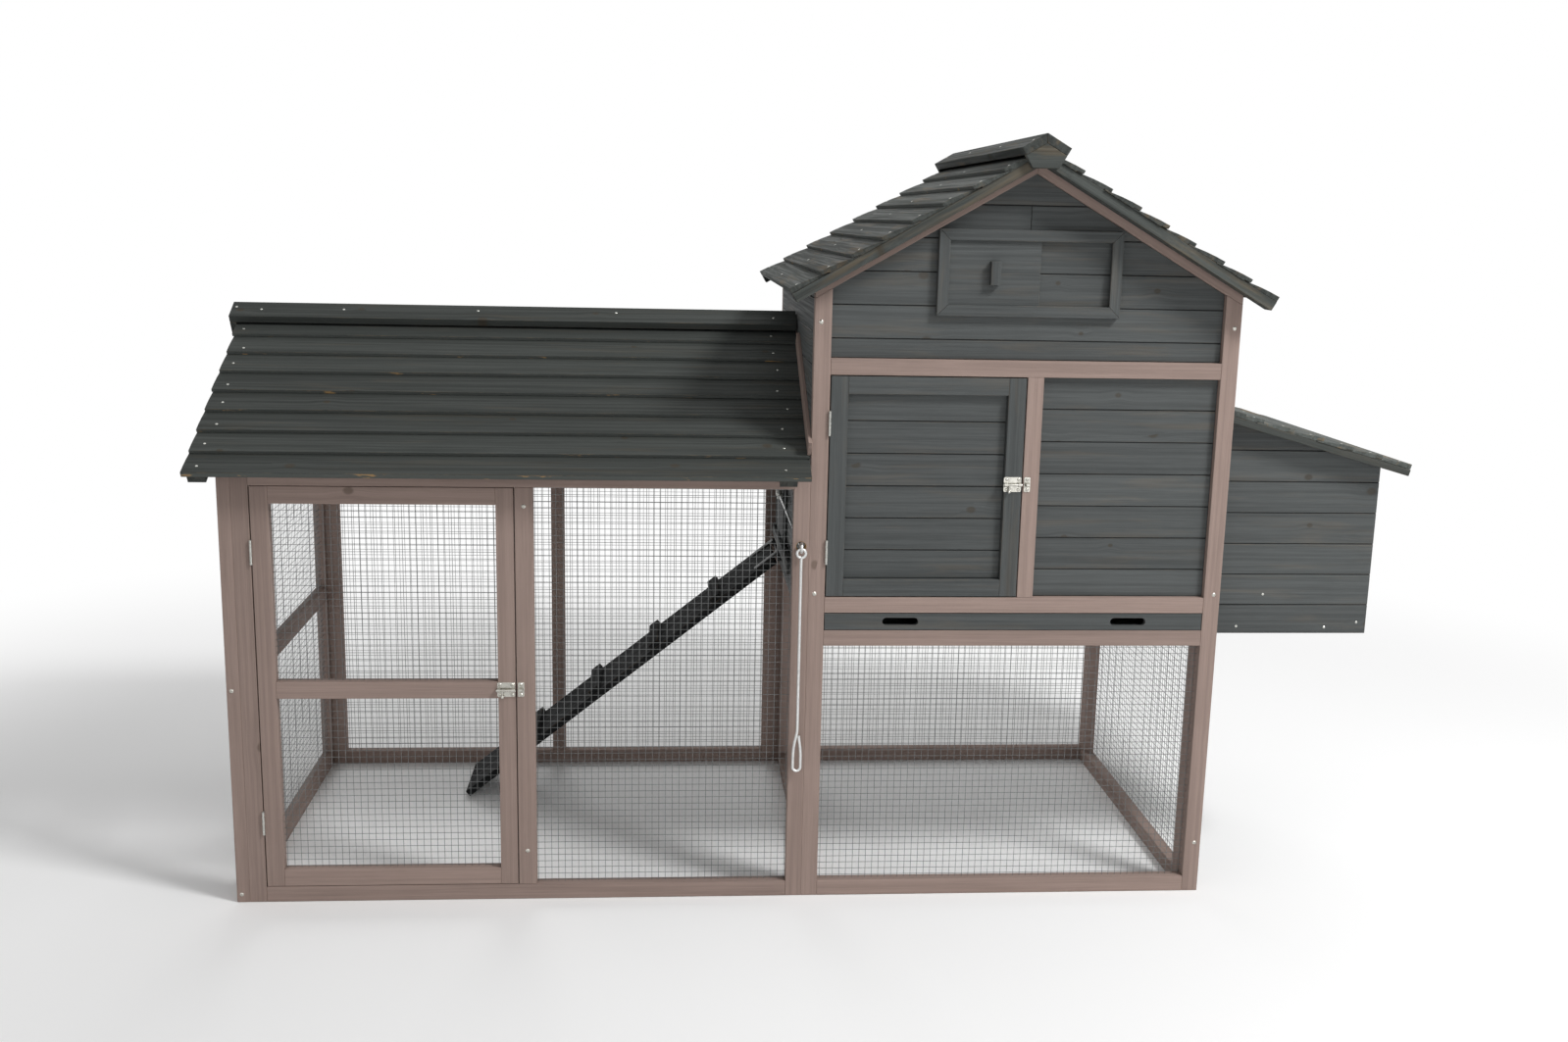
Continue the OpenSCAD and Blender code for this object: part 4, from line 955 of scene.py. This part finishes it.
def put(bm, shape, place, normal, turn=0.0, sink=0.0):
    """Adds a shape to a bmesh, standing on a place with its top along normal."""
    before = len(bm.verts)
    bm.from_mesh(shape)
    bm.verts.ensure_lookup_table()
    up = normal.to_track_quat("Z", "Y").to_matrix().to_4x4()
    where = Matrix.Translation(place - normal * sink) @ up @ Matrix.Rotation(turn, 4, "Z")
    bmesh.ops.transform(bm, matrix=where, verts=bm.verts[before:])


def surface_of(*names):
    """What a fastener can be driven into: the shown faces of some pieces."""
    bm = bmesh.new()
    for name in names:
        bm.from_mesh(bpy.data.objects[name].data)
    tree = BVHTree.FromBMesh(bm)
    bm.free()
    return tree


def latch_plate(bm, lo, hi, corner, straps, screws):
    """A stamped plate on the timber at hi.y, with its straps and its screws."""
    face = hi.y
    middle = (lo.z + hi.z) / 2
    round_plate(bm, Vector((lo.x, face - PLATE_THICK, lo.z)), hi, corner, PLATE_CHAMFER)
    for x in straps:
        strap(bm, x, face - BOLT_AXIS_OFF, middle, face - 0.0010)
    head = screw_head(*PLATE_SCREW)
    for x, side, turn in screws:
        place = Vector((x, face - PLATE_THICK, middle + side * PLATE_SCREW_OFF))
        put(bm, head, place, -BACK, turn)


def latch(node, body):
    """A bolt's plate, with two straps and four screws."""
    lo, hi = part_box(node)
    left, right = lo.x + 0.0055, hi.x - 0.0055
    places = ((left, 1), (right, 1), (left, -1), (right, -1))
    bm = bmesh.new()
    latch_plate(bm, lo, hi, 0.003, (lo.x + 0.0004, hi.x - 0.0004 - STRAP_WIDTH),
                [(x, side, 0.4 + 1.3 * k) for k, (x, side) in enumerate(places)])
    bmesh.ops.recalc_face_normals(bm, faces=bm.faces[:])
    hardware(node + "_plate", bm, body, "nickel", [node])


def bolt(node, body):
    """The bolt with rounded tips and a turned-down lever with a ball end."""
    lo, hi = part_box(node)
    axis_y = lo.y + KNOB_RADIUS
    axis_z = hi.z - BOLT_RADIUS
    bm = bmesh.new()
    round_bar(bm, BOLT_RADIUS, BOLT_RADIUS, hi.x - lo.x,
              Matrix.Translation(((lo.x + hi.x) / 2, axis_y, axis_z))
              @ Matrix.Rotation(math.pi / 2, 4, "Y"), 24)
    tips = [e for e in bm.edges if any(all(abs(v.co.x - end) < 1e-6 for v in e.verts)
                                       for end in (lo.x, hi.x))]
    bevel(bm, tips, 0.0011, 3)
    copy = merged_copy(node)
    lever_x = min(copy.verts, key=lambda v: v.co.z).co.x
    copy.free()
    drop = axis_z - lo.z - KNOB_RADIUS
    neck = -drop * 0.75
    for top, foot, top_r, foot_r in ((0.0, neck, 0.00225, 0.0018),
                                     (neck, -drop, 0.0018, 0.0021)):
        place = Matrix.Translation((lever_x, axis_y, axis_z + (top + foot) / 2))
        round_bar(bm, foot_r, top_r, top - foot, place, 18)
    bmesh.ops.create_uvsphere(
        bm, u_segments=18, v_segments=12, radius=KNOB_RADIUS,
        matrix=Matrix.Translation((lever_x, axis_y, lo.z + KNOB_RADIUS)))
    hardware(node + "_bar", bm, body, "nickel", [node])


class COOP_OT_latches(bpy.types.Operator):
    """Makes the two sliding bolts, their plates and their keepers"""

    bl_idname = "coop.latches"
    bl_label = "Latches"

    def execute(self, context):
        for door in ("run", "house"):
            latch(door + "_latch_case", door + "_door")
        for door in ("run", "house"):
            bolt(door + "_latch_bolt", door + "_bolt")
        bm = bmesh.new()
        for lo, hi in solid_boxes("latch_keepers"):
            x = (lo.x + hi.x) / 2
            is_plate = hi.z - lo.z > 0.02
            if is_plate:
                latch_plate(bm, lo, hi, 0.0025, [x - STRAP_WIDTH / 2],
                            [(x, side, 0.7 + side) for side in (-1, 1)])
        bmesh.ops.recalc_face_normals(bm, faces=bm.faces[:])
        hardware("latch_keepers_plates", bm, "coop", "nickel", ["latch_keepers"])
        return {"FINISHED"}


class COOP_OT_hinges(bpy.types.Operator):
    """Makes the hinges, the ramp's hooks and hanger, and the tray's pan"""

    bl_idname = "coop.hinges"
    bl_label = "Hinges, hooks and pan"

    def execute(self, context):
        for node in SHEET_METAL:
            self.pressed(node, "metal", "zinc_hardware", "zinc", 0.00012, 1)
        # The ramp's irons get a near black colour that is painted shade
        for node in RAMP_IRON:
            self.pressed(node, "iron", "black_steel", "steel in painted shade", 0.0004, 2)
        self.pressed("tray_pan", "sheet", "tray_metal", "tray", 0.0002, 1, smooth=False)
        return {"FINISHED"}

    def pressed(self, node, kind, slot, finish, edge, segments, smooth=True):
        """A metal node as it is, with its edges broken."""
        bm = merged_copy(node)
        ease_edges(bm, edge, segments)
        piece(f"{node}_{kind}", bm, body_of(node), FINISHES[finish], smooth=smooth,
              replaces=[node])


class COOP_OT_pull(bpy.types.Operator):
    """Makes the pull rod with its eye, and the hanging handle"""

    bl_idname = "coop.pull"
    bl_label = "Pull rod and handle"

    def execute(self, context):
        d = context.scene.coop_ironmongery.rod
        lo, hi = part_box("pull_handle")
        x = (lo.x + hi.x) / 2
        y = (lo.y + hi.y) / 2
        self.rod(x, y, d)
        self.clips()
        self.handle(x, y, lo.z, hi.z, d)
        return {"FINISHED"}

    def rod(self, x, eye_y, d):
        """The rod from the sliding door to the eye bent at its front end."""
        lo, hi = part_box("pull_rod")
        z = (lo.z + hi.z) / 2
        line = [Vector((x, y, z)) for y in (hi.y, hi.y - 0.001, eye_y + RING + 0.004)]
        line += arc(Vector((x, eye_y, z)), BACK, DOWN, RING, 12, 352, 30)
        wire_path("pull_rod_wire", [line], d, "pop_door", FINISHES["rod"])

    def clips(self):
        """The two blocks that hold the rod on the sliding door."""
        bm = merged_copy("pull_rod")
        blocks = [v for v in solids(bm) if (extent(v)[1] - extent(v)[0]).y < 0.02]
        keep = {v for verts in blocks for v in verts}
        bmesh.ops.delete(bm, geom=[v for v in bm.verts if v not in keep], context="VERTS")
        ease_edges(bm, 0.0006)
        hardware("pull_rod_clips", bm, "pop_door", "zinc", ["pull_rod"])

    def handle(self, x, y, low, high, d):
        """The handle: a ring through the eye, a straight neck and a long loop."""
        right = Vector((1, 0, 0))
        ring = Vector((x, y, high - d / 2 - RING))
        neck = low + 0.0735
        half_loop = 0.00725

        def at(dx, dz):
            return Vector((x + dx, y, neck + dz))

        line = arc(ring, -DOWN, right, RING, -168, 176, 30)
        line += [Vector((x - 0.0003, y, ring.z - RING - 0.004))]
        line += [at(0.0, 0.012), at(-0.0006, 0.004)]
        side = ((-0.0022, -0.004), (-0.0045, -0.014), (-0.0062, -0.026), (-0.0071, -0.038))
        line += [at(dx, dz) for dx, dz in side]
        line += arc(Vector((x, y, low + d / 2 + half_loop)), -right, DOWN, half_loop, 0, 180, 16)
        line += [at(-dx, dz) for dx, dz in reversed(side[1:])]
        line += [at(0.0034, -0.006), at(0.0030, -0.001)]
        wire_path("pull_handle_wire", [line], d, "pull_handle",
                  FINISHES["rod"], replaces=["pull_handle"])


class COOP_OT_fasteners(bpy.types.Operator):
    """Drives the screws of the frames and the nails of roofs and walls"""

    bl_idname = "coop.fasteners"
    bl_label = "Screws and nails"

    def execute(self, context):
        s = context.scene.coop_ironmongery
        head = screw_head(s.screw, 0.0013)
        bm = bmesh.new()
        for k, (lo, hi) in enumerate(solid_boxes("screws")):
            put(bm, head, Vector(((lo.x + hi.x) / 2, hi.y, (lo.z + hi.z) / 2)), -BACK, 0.9 * k)
        hardware("frame_screws", bm, "coop", "nickel", ["screws"])
        rng = random.Random(61)
        nail = nail_head(s.nail, 0.0006)
        self.roof_nails(nail, rng)
        self.lid_nails(nail, rng)
        self.nest_nails(nail_head(s.nail, 0.0005), random.Random(62))
        return {"FINISHED"}

    def drive(self, bm, shape, tree, start, direction, rng):
        """Drives one nail where a line from start meets the timber."""
        place, normal, _, _ = tree.ray_cast(start, direction)
        if place is not None:
            put(bm, shape, place, normal, rng.uniform(0, 3), 0.0001)

    def roof_nails(self, shape, rng):
        """Two or three nails in each course, and a row along each side of a cap."""
        bm = bmesh.new()

        def nail(tree, x, y):
            self.drive(bm, shape, tree, Vector((x, y, FAR)), DOWN, rng)

        roof = surface_of("run_roof_boards_wood", "run_ridge_cap_wood")
        lo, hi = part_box("run_roof_boards")
        ridge = (lo.y + hi.y) / 2
        cap = [lo.x + d for d in (-0.002, 0.05, 0.205, 0.47, 0.74)] + [hi.x - 0.05]
        for side in (-1, 1):
            for k in range(ROOF_ROWS):
                reach = abs(lo.y) - (k + NAIL_UP_COURSE) * ROOF_COURSE
                for x in (lo.x + 0.022, hi.x - 0.044):
                    nail(roof, x + rng.uniform(-0.009, 0.012),
                         ridge + side * (reach + rng.uniform(-0.006, 0.006)))
            for x in cap:
                nail(roof, x + rng.uniform(-0.004, 0.004),
                     ridge + side * rng.uniform(0.014, 0.026))

        roof = surface_of("house_roof_boards_wood", "house_ridge_cap_wood")
        lo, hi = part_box("house_roof_boards")
        ridge = (lo.x + hi.x) / 2
        for side in (-1, 1):
            for k in range(ROOF_ROWS):
                reach = (hi.x - lo.x) / 2 - (k + NAIL_UP_COURSE) * ROOF_COURSE
                for y in (lo.y + 0.02, (lo.y + hi.y) / 2, hi.y - 0.02):
                    nail(roof, ridge + side * (reach + rng.uniform(-0.006, 0.006)),
                         y + rng.uniform(-0.007, 0.007))
            for y in (lo.y + 0.01, lo.y + 0.28, hi.y - 0.28, hi.y - 0.01):
                nail(roof, ridge + side * 0.02, y)
        piece("roof_nails", bm, "coop", FINISHES["zinc"])

    def lid_nails(self, shape, rng):
        """Three nails in each course of the nest box's lid."""
        bm = bmesh.new()
        lid = surface_of("nest_lid_boards_wood")
        lo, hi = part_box("nest_lid_boards")
        for k in range(LID_ROWS):
            x = hi.x - 0.022 - k * LID_COURSE
            for y in (lo.y + 0.013, (lo.y + hi.y) / 2, hi.y - 0.013):
                start = Vector((x + rng.uniform(-0.004, 0.004),
                                y + rng.uniform(-0.004, 0.004), FAR))
                self.drive(bm, shape, lid, start, DOWN, rng)
        piece("lid_nails", bm, "nest_lid", FINISHES["zinc"])

    def nest_nails(self, shape, rng):
        """The nest box's nails, the same in both its ends, and rows in its side."""
        bm = bmesh.new()
        walls = surface_of("nest_walls_wood")
        lo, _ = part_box("nest_walls")
        for dx, dz in ((0.004, 0.022), (0.056, 0.014), (0.232, 0.012), (0.296, 0.022),
                       (0.104, 0.078)):
            for y, direction in ((-FAR, BACK), (FAR, -BACK)):
                start = Vector((lo.x + dx, y, lo.z + dz))
                self.drive(bm, shape, walls, start, direction, rng)
        for dy in (0.018, 0.32, 0.632):
            for dz in (0.02, 0.08, 0.2, 0.32):
                start = Vector((FAR, lo.y + dy + rng.uniform(-0.003, 0.003), lo.z + dz))
                self.drive(bm, shape, walls, start, Vector((-1, 0, 0)), rng)
        piece("nest_nails", bm, "coop", FINISHES["zinc"])


# ---------- stage ----------


class COOP_OT_stage(bpy.types.Operator):
    """Sets the camera, the floor and the soft studio light"""

    bl_idname = "coop.stage"
    bl_label = "Stage"

    def execute(self, context):
        scene = context.scene
        s = scene.coop_stage
        scene.view_settings.view_transform = "Standard"
        self.camera(scene, s.lens)
        self.sky(scene, s.sky)
        self.lamp(scene, "key", s.key, 1.1, Vector((2.5, -2.2, 3.8)))
        self.lamp(scene, "fill", s.fill, 1.8, Vector((1.3, -3.8, 0.8)))
        back = self.lamp(scene, "back", s.back, 2.0, Vector((-0.6, 3.8, 2.6)))
        back.visible_glossy = False
        self.floor(scene)
        return {"FINISHED"}

    def camera(self, scene, lens):
        """The camera at the photograph's place, turned by its yaw, pitch and roll."""
        camera = bpy.data.objects.new("camera", bpy.data.cameras.new("camera"))
        scene.collection.objects.link(camera)
        ahead = Vector((math.sin(CAMERA_YAW) * math.cos(CAMERA_PITCH),
                        math.cos(CAMERA_YAW) * math.cos(CAMERA_PITCH),
                        -math.sin(CAMERA_PITCH)))
        level = Vector((math.cos(CAMERA_YAW), -math.sin(CAMERA_YAW), 0))
        up = level.cross(ahead)
        right = level * math.cos(CAMERA_ROLL) + up * math.sin(CAMERA_ROLL)
        top = up * math.cos(CAMERA_ROLL) - level * math.sin(CAMERA_ROLL)
        turn = Matrix((right, top, -ahead)).transposed().to_4x4()
        camera.matrix_world = Matrix.Translation(CAMERA_PLACE) @ turn
        camera.data.sensor_width = 36.0
        camera.data.lens = lens
        camera.data.shift_x, camera.data.shift_y = CAMERA_SHIFT
        camera.data.clip_end = 60.0
        scene.camera = camera

    def sky(self, scene, strength):
        """An even light from all round, which the camera and metal see as white."""
        world = bpy.data.worlds.new("sky")
        scene.world = world
        world.use_nodes = True
        world.node_tree.nodes.clear()
        n = Nodes(world.node_tree)
        path = n.add("LightPath").outputs
        seen = path["Is Camera Ray"]
        for ray in ("Is Glossy Ray", "Is Transmission Ray"):
            seen = n.maths("MAXIMUM", seen, path[ray])
        lit = n.add("Background", {"Color": (1, 1, 1, 1), "Strength": strength})
        shown = n.add("Background", {"Color": (1, 1, 1, 1), "Strength": 1.0})
        both = n.add("MixShader", {0: seen, 1: lit.outputs[0], 2: shown.outputs[0]})
        n.add("OutputWorld", {"Surface": both.outputs[0]})

    def floor(self, scene):
        """A pale floor that keeps the shadow and fades to white further out."""
        material, n, shader = new_material("floor")
        n.feed(shader, {"Base Color": (*srgb(249, 249, 249), 1), "Roughness": 0.9,
                        "Specular IOR Level": 0.1})
        where = n.vector("MULTIPLY", n.add("NewGeometry").outputs["Position"], (1, 1, 0))
        # The floor turns to the background's white from 1.7 m out to 3.2 m
        far = n.spread(n.vector("LENGTH", where), 1.7, 3.2)
        white = n.add("Emission", {"Color": (1, 1, 1, 1), "Strength": 1.0})
        share = n.maths("MULTIPLY", far, n.add("LightPath").outputs["Is Camera Ray"])
        both = n.add("MixShader", {0: share, 1: shader.outputs[0], 2: white.outputs[0]})
        n.feed(n.tree.nodes["Material Output"], {"Surface": both.outputs[0]})
        bm = bmesh.new()
        bmesh.ops.create_grid(bm, x_segments=1, y_segments=1, size=30.0)
        floor = bpy.data.objects.new("floor", as_mesh("floor", bm))
        floor.location.z = -0.0005
        floor.data.materials.append(material)
        scene.collection.objects.link(floor)

    def lamp(self, scene, name, power, width, place):
        """A round soft lamp that is aimed at the middle of the coop."""
        light = bpy.data.lights.new(name, "AREA")
        light.energy = power
        light.shape = "DISK"
        light.size = width
        lamp = bpy.data.objects.new(name, light)
        scene.collection.objects.link(lamp)
        turn = (Vector((0.1, 0.0, 0.7)) - place).to_track_quat("-Z", "Y").to_matrix().to_4x4()
        lamp.matrix_world = Matrix.Translation(place) @ turn
        return lamp


class COOP_PT_looks(bpy.types.Panel):
    """Lists the makers in the sidebar, with the sizes and colours they use"""

    bl_label = "Hen house"
    bl_space_type = "VIEW_3D"
    bl_region_type = "UI"
    bl_category = "Hen house"

    def draw(self, context):
        layout = self.layout
        for group in GROUPS:
            box = layout.box()
            box.label(text=group.__name__.replace("Settings", ""))
            settings = getattr(context.scene, GROUPS[group])
            for name in group.__annotations__:
                box.prop(settings, name)
        for maker in MAKERS:
            layout.operator(maker.bl_idname)


GROUPS = {
    TimberSettings: "coop_timber",
    NettingSettings: "coop_netting",
    IronmongerySettings: "coop_ironmongery",
    StageSettings: "coop_stage",
}
MAKERS = (
    COOP_OT_stage, COOP_OT_finishes, COOP_OT_frame_timber, COOP_OT_wall_boards,
    COOP_OT_joinery, COOP_OT_roofs, COOP_OT_ramp, COOP_OT_netting, COOP_OT_latches,
    COOP_OT_hinges, COOP_OT_pull, COOP_OT_fasteners,
)


def register():
    for group, name in GROUPS.items():
        bpy.utils.register_class(group)
        setattr(bpy.types.Scene, name, PointerProperty(type=group))
    for maker in MAKERS:
        bpy.utils.register_class(maker)
    bpy.utils.register_class(COOP_PT_looks)


def unregister():
    bpy.utils.unregister_class(COOP_PT_looks)
    for maker in reversed(MAKERS):
        bpy.utils.unregister_class(maker)
    for group, name in GROUPS.items():
        delattr(bpy.types.Scene, name)
        bpy.utils.unregister_class(group)


def main():
    register()
    bpy.ops.coop.stage()
    bpy.ops.coop.finishes()
    bpy.ops.coop.frame_timber()
    bpy.ops.coop.wall_boards()
    bpy.ops.coop.joinery()
    bpy.ops.coop.roofs()
    bpy.ops.coop.ramp()
    bpy.ops.coop.netting()
    bpy.ops.coop.latches()
    bpy.ops.coop.hinges()
    bpy.ops.coop.pull()
    bpy.ops.coop.fasteners()


if __name__ == "__main__":
    main()
